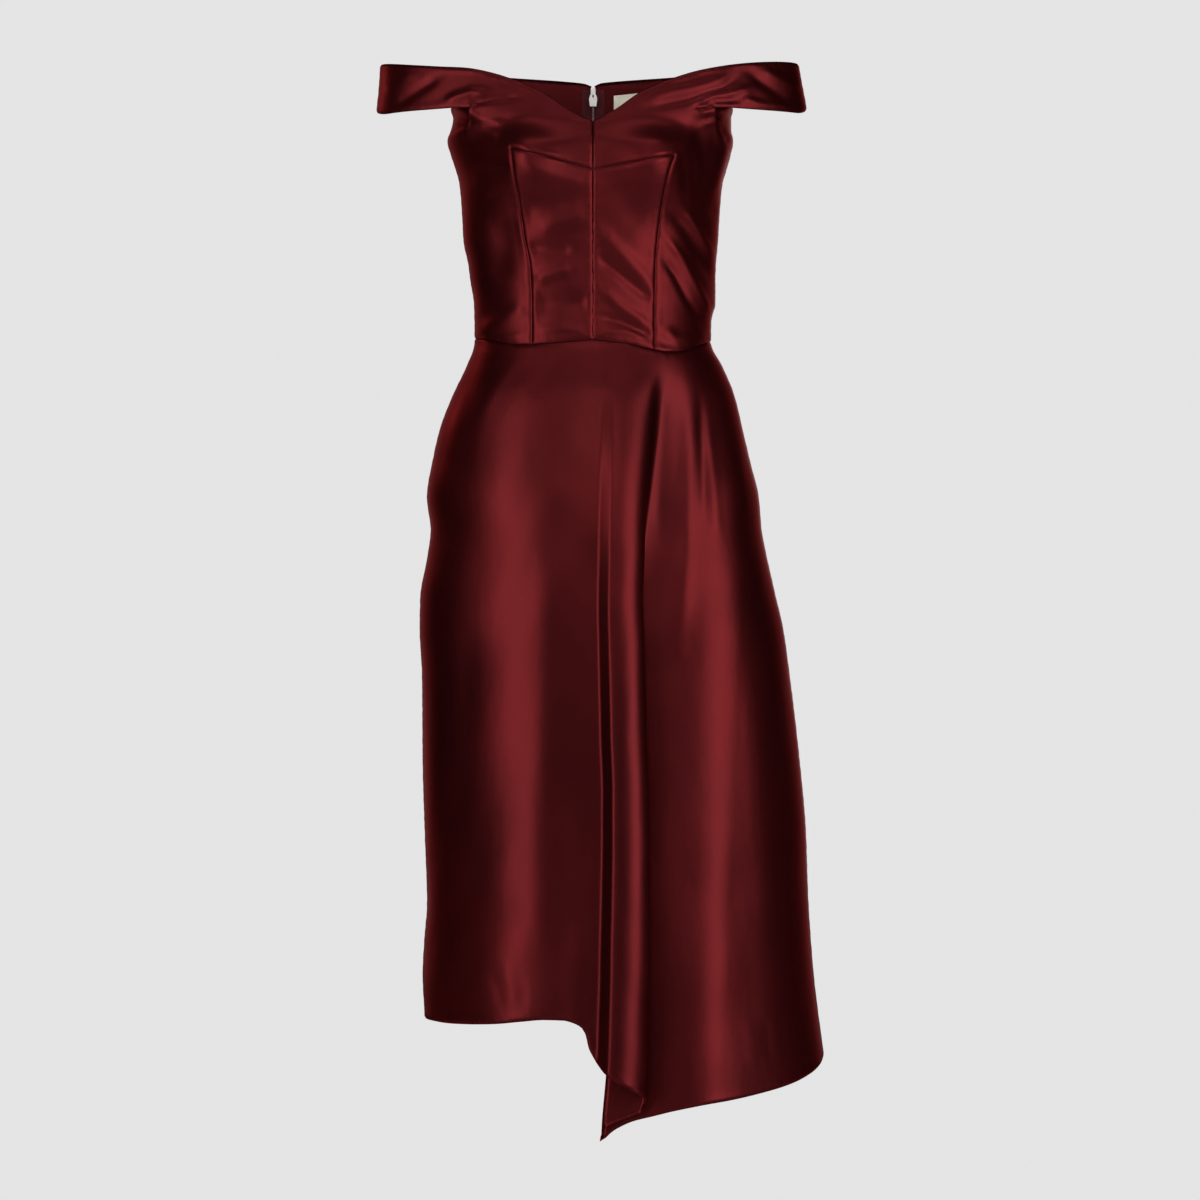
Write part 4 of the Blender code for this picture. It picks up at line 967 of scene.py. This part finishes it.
def stroke_lift(strokes, u, v):
    """Sum of soft ridges and troughs: height, half width, then the points that each one runs through."""
    total = np.zeros(len(u))
    for height, width, *path in strokes:
        path = np.array(path, float)
        low = path.min(axis=0) - STROKE_REACH * width
        high = path.max(axis=0) + STROKE_REACH * width
        near = np.flatnonzero((u > low[0]) & (u < high[0]) & (v > low[1]) & (v < high[1]))
        if not len(near):
            continue
        place = np.stack([u[near], v[near]], axis=1)
        best = np.full(len(near), 1e9)
        at = np.zeros(len(near))
        run = 0.0
        for start, end in zip(path[:-1], path[1:]):
            way = end - start
            length = float(np.linalg.norm(way))
            t = np.clip((place - start) @ way / length ** 2, 0.0, 1.0)
            gap = np.linalg.norm(place - start - t[:, None] * way, axis=1)
            closer = gap < best
            best = np.where(closer, gap, best)
            at = np.where(closer, run + t * length, at)
            run += length
        share = at / run
        taper = rise(0.0, STROKE_TAPER, share) * (1 - rise(1 - STROKE_TAPER, 1.0, share))
        total[near] += height * (STROKE_ENDS + (1 - STROKE_ENDS) * taper) * bell(1.0, 0.0, width, best)
    return total


def waves(points):
    """Slow swells of unlike lengths in millimetres, so that no stretch of cloth is quite even."""
    around = np.arctan2(points[:, 0], np.abs(points[:, 1])) * WAVE_RADIUS
    z = points[:, 2]
    total = np.sin(around / 17.0 + 1.1 * np.sin(z / 43.0)) * np.sin(z / 31.0 + 0.7)
    total += 0.7 * np.sin(around / 9.0 - z / 23.0 + 1.3 * np.sin(z / 57.0 + 1.0))
    total += 0.5 * np.sin(z / 11.0 + around / 29.0 + 2.0 * np.sin(around / 37.0))
    return total


def dressed(points, normals, triangles, front, skirt):
    """The panel's points moved out and in by creases, swells, seams and puckers."""
    facing = rise(TOWARDS_FROM, TOWARDS_FULL, -normals[:, 1] if front else normals[:, 1])
    if front:
        u, v = seen(points)
        lift = stroke_lift(SKIRT_CREASES if skirt else BODICE_CREASES, u, v)
    else:
        lift = stroke_lift(BACK_CREASES, points[:, 0], points[:, 2])
    lift *= facing
    swell = SWELL_SKIRT if skirt else SWELL_BODICE
    lift += swell * waves(points) * (SWELL_TURNED_AWAY + (1 - SWELL_TURNED_AWAY) * facing)
    border = np.unique(border_of(triangles))
    gap = edge_distance(points, border)
    x, _, z = points.T
    # Uneven ripples about 8 to 20 mm long, which show as puckers beside the seams.
    ripple = np.sin(0.75 * z + 1.7 * np.sin(0.11 * z)) + 0.6 * np.sin(0.62 * x + 0.31 * z)
    lift *= rise(0.0, CREASE_CLEAR, gap) * (1 - CREASE_AT_SEAM) + CREASE_AT_SEAM
    lift += ripple * bell(*PUCKER, gap) - bell(*SEAM_DIP, gap) + bell(*SEAM_PUFF, gap)
    return points + lift[:, None] * normals


def lin(*screen):
    """A screen colour from 0 to 255 as the shader's colour."""
    curve = [((c / 255 + 0.055) / 1.055) ** 2.4 if c > 10 else c / 255 / 12.92 for c in screen]
    return (*curve, 1.0)


def new_material(name, roughness, metallic=0.0):
    material = bpy.data.materials.new(name)
    material.use_nodes = True
    shader = material.node_tree.nodes["Principled BSDF"]
    shader.inputs["Roughness"].default_value = roughness
    shader.inputs["Metallic"].default_value = metallic
    return material, material.node_tree, shader


def texture(tree, kind, **values):
    node = tree.nodes.new(kind)
    for key, value in values.items():
        node.inputs[key].default_value = value
    return node


def laid_over(tree, node, scale=(1.0, 1.0, 1.0)):
    """Lays a texture over the object by its coordinates in metres, scaled along each axis."""
    place = tree.nodes.new("ShaderNodeTexCoord")
    mapping = tree.nodes.new("ShaderNodeMapping")
    mapping.inputs["Scale"].default_value = scale
    tree.links.new(place.outputs["Object"], mapping.inputs["Vector"])
    tree.links.new(mapping.outputs["Vector"], node.inputs["Vector"])
    return node.outputs["Fac"]


def coloured(tree, shader, factor, *stops):
    """Colours the shader from one colour to another by a texture. A stop is a place and its colour."""
    node = tree.nodes.new("ShaderNodeValToRGB")
    for element, (position, colour) in zip(node.color_ramp.elements, stops):
        element.position = position
        element.color = colour
    tree.links.new(factor, node.inputs["Fac"])
    tree.links.new(node.outputs["Color"], shader.inputs["Base Color"])


def varied_gloss(tree, shader, factor, low, high):
    gloss = tree.nodes.new("ShaderNodeMapRange")
    gloss.inputs["To Min"].default_value = low
    gloss.inputs["To Max"].default_value = high
    tree.links.new(factor, gloss.inputs["Value"])
    tree.links.new(gloss.outputs["Result"], shader.inputs["Roughness"])


def bump(tree, height, strength, distance, below=None):
    node = tree.nodes.new("ShaderNodeBump")
    node.inputs["Strength"].default_value = strength
    node.inputs["Distance"].default_value = distance
    tree.links.new(height, node.inputs["Height"])
    if below is not None:
        tree.links.new(below, node.inputs["Normal"])
    return node.outputs["Normal"]


# Colour of the satin's gloss where it is seen edge-on.
EDGE_TINT = lin(212, 124, 126)


def satin(name, dark, light, roughness, metallic):
    """Heavy satin: long floats in one direction, slow colour drift, tiny uneven swells."""
    material, tree, shader = new_material(name, roughness, metallic)
    drift = texture(tree, "ShaderNodeTexNoise", Scale=9.0, Detail=3.0, Roughness=0.5)
    drift = laid_over(tree, drift, (1.0, 1.0, 0.6))
    coloured(tree, shader, drift, (0.3, dark), (0.7, light))
    floats = texture(tree, "ShaderNodeTexNoise", Scale=1.0, Detail=2.0, Roughness=0.6)
    floats = laid_over(tree, floats, (2600.0, 2600.0, 420.0))
    swell = texture(tree, "ShaderNodeTexNoise", Scale=38.0, Detail=2.5, Roughness=0.55)
    low = bump(tree, laid_over(tree, swell, (1.0, 1.0, 0.45)), 0.1, 0.004)
    tree.links.new(bump(tree, floats, 0.25, 0.00008, low), shader.inputs["Normal"])
    varied_gloss(tree, shader, drift, roughness - 0.05, roughness + 0.05)
    shader.inputs["Specular IOR Level"].default_value = 0.2
    shader.inputs["Specular Tint"].default_value = EDGE_TINT
    return material


def panel_area(points, triangles):
    return float(np.linalg.norm(face_normals(points, triangles), axis=1).sum()) / 2 * METRES ** 2


def back_surface(side, x, z, inset):
    """Points inside the back near its centre, this far behind the outer face of the plain solid."""
    x, z = np.broadcast_arrays(np.abs(np.asarray(x, float)), np.asarray(z, float))
    ahead = body_point(side, False, angle_at(side, x, z + 1.0), z + 1.0)
    here = body_point(side, False, angle_at(side, x, z), z)
    slope = ahead - here
    out = unit(np.stack([0.0 * x, slope[..., 2], -slope[..., 1]], axis=-1))
    return here - out * (inset + HIP_EASE * rise(4.0, -40.0, z))[..., None]


def tube(path, radii, sides):
    """Points and triangles of a round thread or wire along a path, closed at both ends."""
    path = np.asarray(path, float)
    way = unit(np.gradient(path, axis=0))
    level = unit(np.cross(way, TUBE_START))
    other = np.cross(way, level)
    turn = np.arange(sides) * 2 * math.pi / sides
    round_it = np.cos(turn)[None, :, None] * level[:, None] + np.sin(turn)[None, :, None] * other[:, None]
    rings = path[:, None] + round_it * np.asarray(radii, float)[:, None, None]
    count = len(path)
    ids = np.arange(count * sides).reshape(count, sides)
    a, b = ids[:-1], ids[1:]
    c, d = np.roll(b, -1, axis=1), np.roll(a, -1, axis=1)
    faces = [np.stack([a, b, c], axis=-1).reshape(-1, 3), np.stack([a, c, d], axis=-1).reshape(-1, 3)]
    start = np.array([(0, k + 1, k) for k in range(1, sides - 1)])
    last = ids[-1, 0]
    faces += [start, np.array([(last, last + k, last + k + 1) for k in range(1, sides - 1)])]
    return rings.reshape(-1, 3), np.concatenate(faces)[:, ::-1]


def merged(parts):
    base = 0
    points = []
    faces = []
    for some, triangles in parts:
        points.append(some)
        faces.append(triangles + base)
        base += len(some)
    return np.concatenate(points), np.concatenate(faces)


def stitches(name, line, out, material):
    """Single stitches of thread along a line of points, each sunk at its two ends."""
    line = np.asarray(line, float)
    run = np.concatenate([[0.0], np.cumsum(np.linalg.norm(np.diff(line, axis=0), axis=1))])
    parts = []
    for start in np.arange(STITCH_FIRST, run[-1] - STITCH_LENGTH, STITCH_PITCH):
        share = np.linspace(0.0, 1.0, STITCH_POINTS)
        at = start + STITCH_LENGTH * share
        path = np.stack([np.interp(at, run, line[:, k]) for k in range(3)], axis=1)
        arch = np.sin(math.pi * share)
        path += np.outer(arch * STITCH_RISE - STITCH_SINK, out)
        parts.append(tube(path, THREAD_RADIUS * (THREAD_ENDS + THREAD_SWELL * arch), THREAD_SIDES))
    return add_piece(name, *merged(parts), material)


def make_tape(name, low, high, material, thread):
    """A woven zip tape: a corded inner edge, fine ribs across and a line of sewing."""
    side = LEFT if low < 0 else RIGHT
    across = np.linspace(low, high, TAPE_GRID[0])
    down = np.linspace(ZIP_TOP, ZIP_FOOT, TAPE_GRID[1])
    patch = back_surface(side, across[None, :], down[:, None], WALL + LAID_GAP + TAPE_INSET)
    points, triangles, out = one_sheet(patch, -1)
    x = np.abs(points[:, 0])
    ribs = RIB_HEIGHT * np.cos(2 * math.pi * (x - RIB_FIRST) / RIB_PITCH) * (x > RIBS_FROM)
    lift = bell(*TAPE_CORD, x) + ribs
    lift += TAPE_CURL * np.sin(points[:, 2] / 9.0 + x / 5.0) * rise(TAPE_CURL_FROM, TAPE_WIDTH, x)
    solid, faces = shell(points + lift[:, None] * out, triangles, out, CLOTH_TAPE, 0.0)
    piece = add_piece(name + "_cloth", solid, faces, material)
    down = np.linspace(ZIP_TOP - SEWING_ENDS[0], ZIP_FOOT + SEWING_ENDS[1], SEWING_SAMPLES)
    line = back_surface(side, SEWING_AT * TAPE_WIDTH, down, WALL + LAID_GAP + SEWING_INSET)
    sewing = stitches(name + "_stitching", line, np.array((0.0, -1.0, 0.0)), thread)
    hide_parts(name)


def make_teeth(material):
    """Both halves of the zip's coil, wound as wire and set half a turn apart, so that they lock."""
    heights = np.arange(COIL_FOOT, COIL_TOP, COIL_PITCH / COIL_STEPS)
    coarse = np.linspace(COIL_FOOT, COIL_TOP, COIL_SAMPLES)
    line = back_surface(RIGHT, 0.0, coarse, WALL + TAPE_WALL + 2 * LAID_GAP + COIL_INSET)
    centre = np.stack([np.interp(heights, coarse, line[:, k]) for k in range(3)], axis=1)
    inward = unit(np.cross(np.gradient(centre, axis=0), (1.0, 0.0, 0.0)))
    parts = []
    for side, phase in ((LEFT, 0.0), (RIGHT, math.pi)):
        turn = 2 * math.pi * heights / COIL_PITCH + phase
        path = centre + (COIL_DEPTH * np.sin(turn))[:, None] * inward
        path[:, 0] += side * COIL_APART + COIL_REACH * np.cos(turn)
        parts.append(tube(path, np.full(len(path), WIRE_RADIUS), WIRE_SIDES))
    piece = add_piece("zip_teeth", *merged(parts), material)
    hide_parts("zip_coil")


def make_label(material, thread):
    """The blank woven label: folded ends, a slightly lifted lower edge and sewing along its top."""
    across = np.linspace(*LABEL_X, LABEL_GRID[0])
    down = np.linspace(0.0, LABEL_HEIGHT, LABEL_GRID[1])

    def top(x):
        return LABEL_TOP[0] + (LABEL_TOP[1] - LABEL_TOP[0]) * (x - LABEL_X[0]) / (LABEL_X[1] - LABEL_X[0])

    inset = WALL + LAID_GAP + LABEL_CLOTH
    patch = back_surface(RIGHT, across[None, :], top(across)[None, :] - down[:, None], inset)
    from_side = np.minimum(across - across[0], across[-1] - across)
    fold = LABEL_FOLD_HEIGHT * (1 - rise(LABEL_FOLD - LABEL_FOLD_STEP, LABEL_FOLD, from_side))[None, :]
    curl = LABEL_CURL * rise(LABEL_CURL_FROM, 1.0, down / LABEL_HEIGHT)[:, None]
    swell = LABEL_SWELL * np.sin(across[None, :] / 6.0 + down[:, None] / 9.0)
    patch[:, :, 1] -= fold + curl + swell + LABEL_LIFT
    points, triangles, out = one_sheet(patch, -1)
    solid, faces = shell(points, triangles, out, LABEL_CLOTH, 0.0)
    piece = add_piece("label_cloth", solid, faces, material)
    from_end, from_top, ahead, count = LABEL_SEWING
    edge = np.linspace(LABEL_X[0] + from_end, LABEL_X[1] - from_end, count)
    line = back_surface(RIGHT, edge, top(edge) - from_top, inset + ahead)
    sewing = stitches("label_stitching", line, np.array((0.0, -1.0, 0.0)), thread)
    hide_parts("label")


def make_tacks(thread):
    """A short thread bar at each outer end of the bust seam."""
    for side, word in SIDES:
        z = bust_seam_z(side, 1.0)
        x = float(on_side(PRINCESS, side, z))
        ends = []
        for shift in (-TACK_HALF, 0.0, TACK_HALF):
            angle = angle_at(side, x + shift, z)
            ends.append(body_point(side, True, angle, z))
        path = np.array([ends[0], 0.5 * (ends[0] + ends[1]), ends[1], 0.5 * (ends[1] + ends[2]), ends[2]])
        path[:, 1] -= np.array(TACK_LIFTS)
        tack = add_piece("bust_tack_" + word, *tube(path, TACK_RADII, TACK_SIDES), thread)


def across_seam(low, high, foot, top):
    """Columns on both sides of a seam between two heights: one patch's last and the other's first."""
    strip = np.concatenate([low[:, -ALLOWANCE:], high[:, 1:ALLOWANCE]], axis=1)
    z = strip[:, ALLOWANCE - 1, 2]
    return strip[(z > foot) & (z < top)]


def along_waist(feet):
    """A level strip behind the waist seam of these patches."""
    path = np.concatenate([patch[0] for patch in feet])
    path = path[np.argsort(np.arctan2(path[:, 0], np.abs(path[:, 1])))]
    keep = np.concatenate([[True], np.linalg.norm(np.diff(path, axis=0), axis=1) > SAME_PLACE])
    return path[keep][None, :] + np.array([(0.0, 0.0, shift) for shift in WAIST_ALLOWANCE])[:, None]


def laid_strip(patch, inset, wall):
    """A strip of cloth behind the plain surface, as points and faces, and its area."""
    points, triangles, out = one_sheet(patch, 1)
    return shell(points - inset * out, triangles, out, wall, 0.0), panel_area(points, triangles)


def bodice_allowances(fronts, backs):
    """The turned allowances of the bodice's seams, by the panel that each belongs to."""
    strips = {}
    low = ALLOWANCE_CLEAR
    for side, word in SIDES:
        lower, upper, bust, underarm, band = fronts[word]
        back_underarm, back_band = backs[word]
        seam_end = bust_seam_z(side, 1.0)
        level = np.concatenate([lower[-ALLOWANCE_ROWS:], upper[1:ALLOWANCE_ROWS]])[:, ALLOWANCE:-ALLOWANCE]
        strips["front_side_" + word] = [
            across_seam(lower, bust[: len(lower)], low, seam_end - ALLOWANCE_CLEAR),
            level,
            across_seam(underarm, back_underarm[:, ::-1], low, UNDERARM_SIDE - 0.5 * ALLOWANCE_CLEAR),
            across_seam(band, back_band[:, ::-1], *BAND_ALLOWANCE),
        ]
    left, right = fronts["left"], fronts["right"]
    middle = across_seam(left[0][:, ::-1], right[0], low, BUST_SEAM_CENTRE - ALLOWANCE_CLEAR)
    strips["front_centre_left"] = [middle]
    foot = BUST_SEAM_CENTRE + ALLOWANCE_CLEAR
    top = float(neck_z(LEFT, True, 0.0)) - 0.5 * ALLOWANCE_CLEAR
    strips["front_side_left"].append(across_seam(left[1][:, ::-1], right[1], foot, top))
    return strips


def skirt_allowances(front, back_left, back_right, front_feet, back_feet):
    """The turned allowances of the skirt's seams, by the panel that each belongs to."""
    strips = {"skirt_front": [along_waist(front_feet)]}
    for low, high, hem in (
        (back_left[:, ::-1], front, HEM_SIDE_LEFT),
        (front, back_right[:, ::-1], HEM_SIDE_RIGHT),
    ):
        strips["skirt_front"].append(across_seam(low, high, FACING_TOP + FACING_CLEAR, -ALLOWANCE_CLEAR))
        strips["skirt_front"].append(across_seam(low, high, hem + HEM_CLEAR, FACING_FOOT - FACING_CLEAR))
    waist = along_waist(back_feet)
    strips["skirt_back_left"] = [
        waist[:, waist[0, :, 0] < -BESIDE_ZIP],
        across_seam(back_left, back_right, HEM_BACK + HEM_CLEAR, ZIP_FOOT - FACING_CLEAR),
    ]
    strips["skirt_back_right"] = [waist[:, waist[0, :, 0] > BESIDE_ZIP]]
    return strips


def make_cloth(material):
    cloth = {}
    front_feet = []
    back_feet = []
    fronts = {}
    backs = {}
    for side, word in SIDES:
        centre, outer = front_patches(side)
        back = back_patches(side)
        cloth["front_centre_" + word] = centre
        cloth["front_side_" + word] = outer
        cloth["back_" + word] = back
        front_feet += [centre[0], outer[1], outer[2]]
        back_feet += [back[0], back[1]]
        fronts[word] = (centre[0], *outer)
        backs[word] = back[1:]
    front = skirt_front_patch(waist_line(front_feet))
    back_left, back_right = skirt_back_patches(waist_line(back_feet))
    facings = {
        "pocket_left": [back_left[:, FACING_BACK - 1 : 0 : -1], front[:, :FACING_FRONT]],
        "pocket_right": [front[:, -FACING_FRONT:], back_right[:, -2 : -FACING_BACK - 1 : -1]],
    }
    allowances = bodice_allowances(fronts, backs)
    allowances.update(skirt_allowances(front, back_left, back_right, front_feet, back_feet))
    front = open_pocket(open_pocket(front, 0, True), -1, True)
    cloth["skirt_front"] = [front]
    cloth["skirt_back_left"] = [open_pocket(back_left, 0, False)]
    cloth["skirt_back_right"] = [open_pocket(back_right, -1, False)]
    panels = {}
    for name, patches in cloth.items():
        points, triangles = sewn(patches)
        panels[name] = (points, facing_out(points, triangles))
    normals = shared_normals(panels)
    for name, (points, triangles) in panels.items():
        moved = dressed(points, normals[name], triangles, "front" in name, "skirt" in name)
        out = unit(summed(moved, triangles))
        border = np.unique(border_of(triangles))
        out[border] = normals[name][border]
        parts = [shell(moved, triangles, unit(out), THIN, SEAM_GAP)]
        area = panel_area(points, triangles)
        for strip in allowances.get(name, []):
            part, strip_area = laid_strip(strip, THIN + ALLOWANCE_BEHIND, ALLOWANCE_WALL)
            parts.append(part)
            area += strip_area
        piece = add_piece(name + "_cloth", *merged(parts), material)
        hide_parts(name)
    for name, parts in facings.items():
        patch = np.concatenate(parts, axis=1)
        z = patch[:, FACING_MEASURED, 2]
        kept = (z < FACING_TOP) & (z > FACING_FOOT)
        part, area = laid_strip(patch[kept], THIN + FACING_BEHIND, FACING_WALL)
        piece = add_piece(name + "_facing", *part, material)
        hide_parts(name)


def fabric(name, dark, light, roughness, ribs, depth):
    """Plain woven cloth: ribs across in two directions and slow colour drift."""
    material, tree, shader = new_material(name, roughness)
    drift = texture(tree, "ShaderNodeTexNoise", Scale=160.0, Detail=4.0, Roughness=0.6)
    coloured(tree, shader, laid_over(tree, drift), (0.3, dark), (0.7, light))
    heights = []
    for direction in ("Z", "X"):
        wave = texture(tree, "ShaderNodeTexWave", Scale=ribs, Distortion=0.6, Detail=1.0)
        wave.bands_direction = direction
        heights.append(laid_over(tree, wave))
    low = bump(tree, heights[0], 0.5, depth)
    tree.links.new(bump(tree, heights[1], 0.5, depth, low), shader.inputs["Normal"])
    shader.inputs["Specular IOR Level"].default_value = 0.25
    return material


def metal(name, dark, light, roughness, metallic):
    """Plated metal: fine scratches, small handling marks and uneven gloss."""
    material, tree, shader = new_material(name, roughness, metallic)
    marks = texture(tree, "ShaderNodeTexNoise", Scale=900.0, Detail=5.0, Roughness=0.65)
    marks = laid_over(tree, marks, (1.0, 1.0, 0.35))
    coloured(tree, shader, marks, (0.25, dark), (0.6, light))
    varied_gloss(tree, shader, marks, roughness - 0.1, roughness + 0.14)
    tree.links.new(bump(tree, marks, 0.3, 0.00005), shader.inputs["Normal"])
    return material


def thread(name, dark, light):
    """Twisted thread: slanting plies and a dull gloss."""
    material, tree, shader = new_material(name, 0.55)
    plies = texture(tree, "ShaderNodeTexWave", Scale=900.0, Distortion=0.4)
    plies.bands_direction = "DIAGONAL"
    plies = laid_over(tree, plies)
    coloured(tree, shader, plies, (0.2, dark), (0.8, light))
    tree.links.new(bump(tree, plies, 0.4, 0.00006), shader.inputs["Normal"])
    return material


def moulded(name, dark, light):
    """Moulded plastic wire: fine mottling in its colour and surface."""
    material, tree, shader = new_material(name, 0.38)
    tint = laid_over(tree, texture(tree, "ShaderNodeTexNoise", Scale=700.0, Detail=3.0, Roughness=0.5))
    coloured(tree, shader, tint, (0.3, dark), (0.7, light))
    tree.links.new(bump(tree, tint, 0.3, 0.00005), shader.inputs["Normal"])
    return material


def plated(name, width, material):
    """A carried-over metal solid in its material, with its edges broken by this width."""
    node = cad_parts[name]
    node.data.materials.clear()
    node.data.materials.append(material)
    modifier = node.modifiers.new("edges", "BEVEL")
    modifier.width = width * METRES
    modifier.segments = 3
    modifier.limit_method = "ANGLE"
    modifier.angle_limit = math.radians(BEVEL_ANGLE)
    modifier.harden_normals = False


RED = satin("satin", lin(68, 18, 20), lin(78, 20, 22), roughness=0.40, metallic=0.92)
make_cloth(RED)
TAPE = fabric("zip_tape", lin(58, 12, 16), lin(84, 20, 26), roughness=0.8, ribs=330.0, depth=0.0002)
WOVEN = {"roughness": 0.6, "ribs": 420.0, "depth": 0.00012}
LABEL = fabric("label_cloth", lin(226, 218, 198), lin(240, 234, 218), **WOVEN)
RED_THREAD = thread("thread_red", lin(60, 10, 14), lin(110, 26, 32))
PALE_THREAD = thread("thread_pale", lin(205, 196, 176), lin(236, 230, 214))
COIL = moulded("zip_coil", lin(92, 44, 52), lin(134, 74, 80))
PLATED = metal("zip_metal", lin(206, 200, 198), lin(242, 238, 236), roughness=0.3, metallic=0.35)
make_tape("zip_tape_left", -TAPE_WIDTH, -TAPE_HALF_GAP, TAPE, RED_THREAD)
make_tape("zip_tape_right", TAPE_HALF_GAP, TAPE_WIDTH, TAPE, RED_THREAD)
make_teeth(COIL)
make_label(LABEL, PALE_THREAD)
make_tacks(RED_THREAD)
plated("zip_slider", 0.3, PLATED)
plated("zip_pull", 0.28, PLATED)

# The stage in metres, and its even light grey.
FLOOR_Z = -1.03
FLOOR_HALF = 3.0
FLOOR_BEHIND = 0.8
BACKDROP = (0.78, 0.78, 0.78, 1.0)
WORLD_LIGHT = 0.035
floor = bpy.data.meshes.new("floor")
corners = (
    (-FLOOR_HALF, -FLOOR_HALF, FLOOR_Z),
    (FLOOR_HALF, -FLOOR_HALF, FLOOR_Z),
    (FLOOR_HALF, FLOOR_BEHIND, FLOOR_Z),
    (-FLOOR_HALF, FLOOR_BEHIND, FLOOR_Z),
)
floor.from_pydata(corners, [], [(0, 1, 2, 3)])
floor_object = bpy.data.objects.new("floor", floor)
bpy.context.scene.collection.objects.link(floor_object)
PALE, _, shader = new_material("floor", 0.9)
shader.inputs["Base Color"].default_value = BACKDROP
floor.materials.append(PALE)

world = bpy.data.worlds.new("studio")
bpy.context.scene.world = world
world.use_nodes = True
tree = world.node_tree
tree.nodes.clear()
out = tree.nodes.new("ShaderNodeOutputWorld")
mix = tree.nodes.new("ShaderNodeMixShader")
path = tree.nodes.new("ShaderNodeLightPath")
lit = tree.nodes.new("ShaderNodeBackground")
shown = tree.nodes.new("ShaderNodeBackground")
lit.inputs["Color"].default_value = (1.0, 1.0, 1.0, 1.0)
lit.inputs["Strength"].default_value = WORLD_LIGHT
shown.inputs["Color"].default_value = BACKDROP
tree.links.new(path.outputs["Is Camera Ray"], mix.inputs["Fac"])
tree.links.new(lit.outputs["Background"], mix.inputs[1])
tree.links.new(shown.outputs["Background"], mix.inputs[2])
tree.links.new(mix.outputs["Shader"], out.inputs["Surface"])


# Lights that stand close look level. The others look at this height or lower.
NEAR_LIGHT = 1.0
AIM_Z = -0.25
# Azimuth in degrees, then height, distance, width and tallness in metres, then power in watts.
LIGHTS = {
    "left_box": (-43, 0.1, 2.8, 1.0, 2.2, 41),
    "right_box": (41, 0.1, 2.8, 1.5, 2.2, 55),
    "top_box": (-4, 1.35, 3.0, 1.0, 0.6, 9),
    "near_box": (2, 0.12, 0.8, 0.4, 0.2, 0.6),
    "high_box": (0, 2.0, 1.3, 2.0, 0.8, 14),
    "left_rim": (-124, 0.75, 2.4, 0.4, 0.4, 4),
    "back_box": (176, 0.1, 3.0, 1.6, 1.8, 14),
    "left_back": (-146, 0.0, 2.8, 1.5, 2.0, 8),
    "right_back": (146, 0.0, 2.8, 1.5, 2.0, 8),
}


def softbox(name, azimuth, height, distance, wide, tall, power):
    """A panel light at this azimuth from the camera's direction, turned to the dress."""
    light = bpy.data.lights.new(name, "AREA")
    light.shape = "RECTANGLE"
    light.size = wide
    light.size_y = tall
    light.energy = power
    obj = bpy.data.objects.new(name, light)
    a = math.radians(azimuth)
    obj.location = (distance * math.sin(a), -distance * math.cos(a), height)
    aim = Vector((0.0, 0.0, min(height, AIM_Z) if distance > NEAR_LIGHT else height)) - obj.location
    obj.rotation_euler = aim.to_track_quat("-Z", "Y").to_euler()
    obj.visible_camera = False
    bpy.context.scene.collection.objects.link(obj)


for name, values in LIGHTS.items():
    softbox(name, *values)

camera = bpy.data.cameras.new("camera")
camera.lens = LENS
camera.sensor_width = SENSOR
camera_object = bpy.data.objects.new("camera", camera)
camera_object.location = (EYE_X * METRES, -EYE_DISTANCE * METRES, EYE_Z * METRES)
camera_object.rotation_euler = (math.radians(90.0), 0.0, 0.0)
bpy.context.scene.collection.objects.link(camera_object)
bpy.context.scene.camera = camera_object
bpy.context.scene.view_settings.view_transform = "Standard"
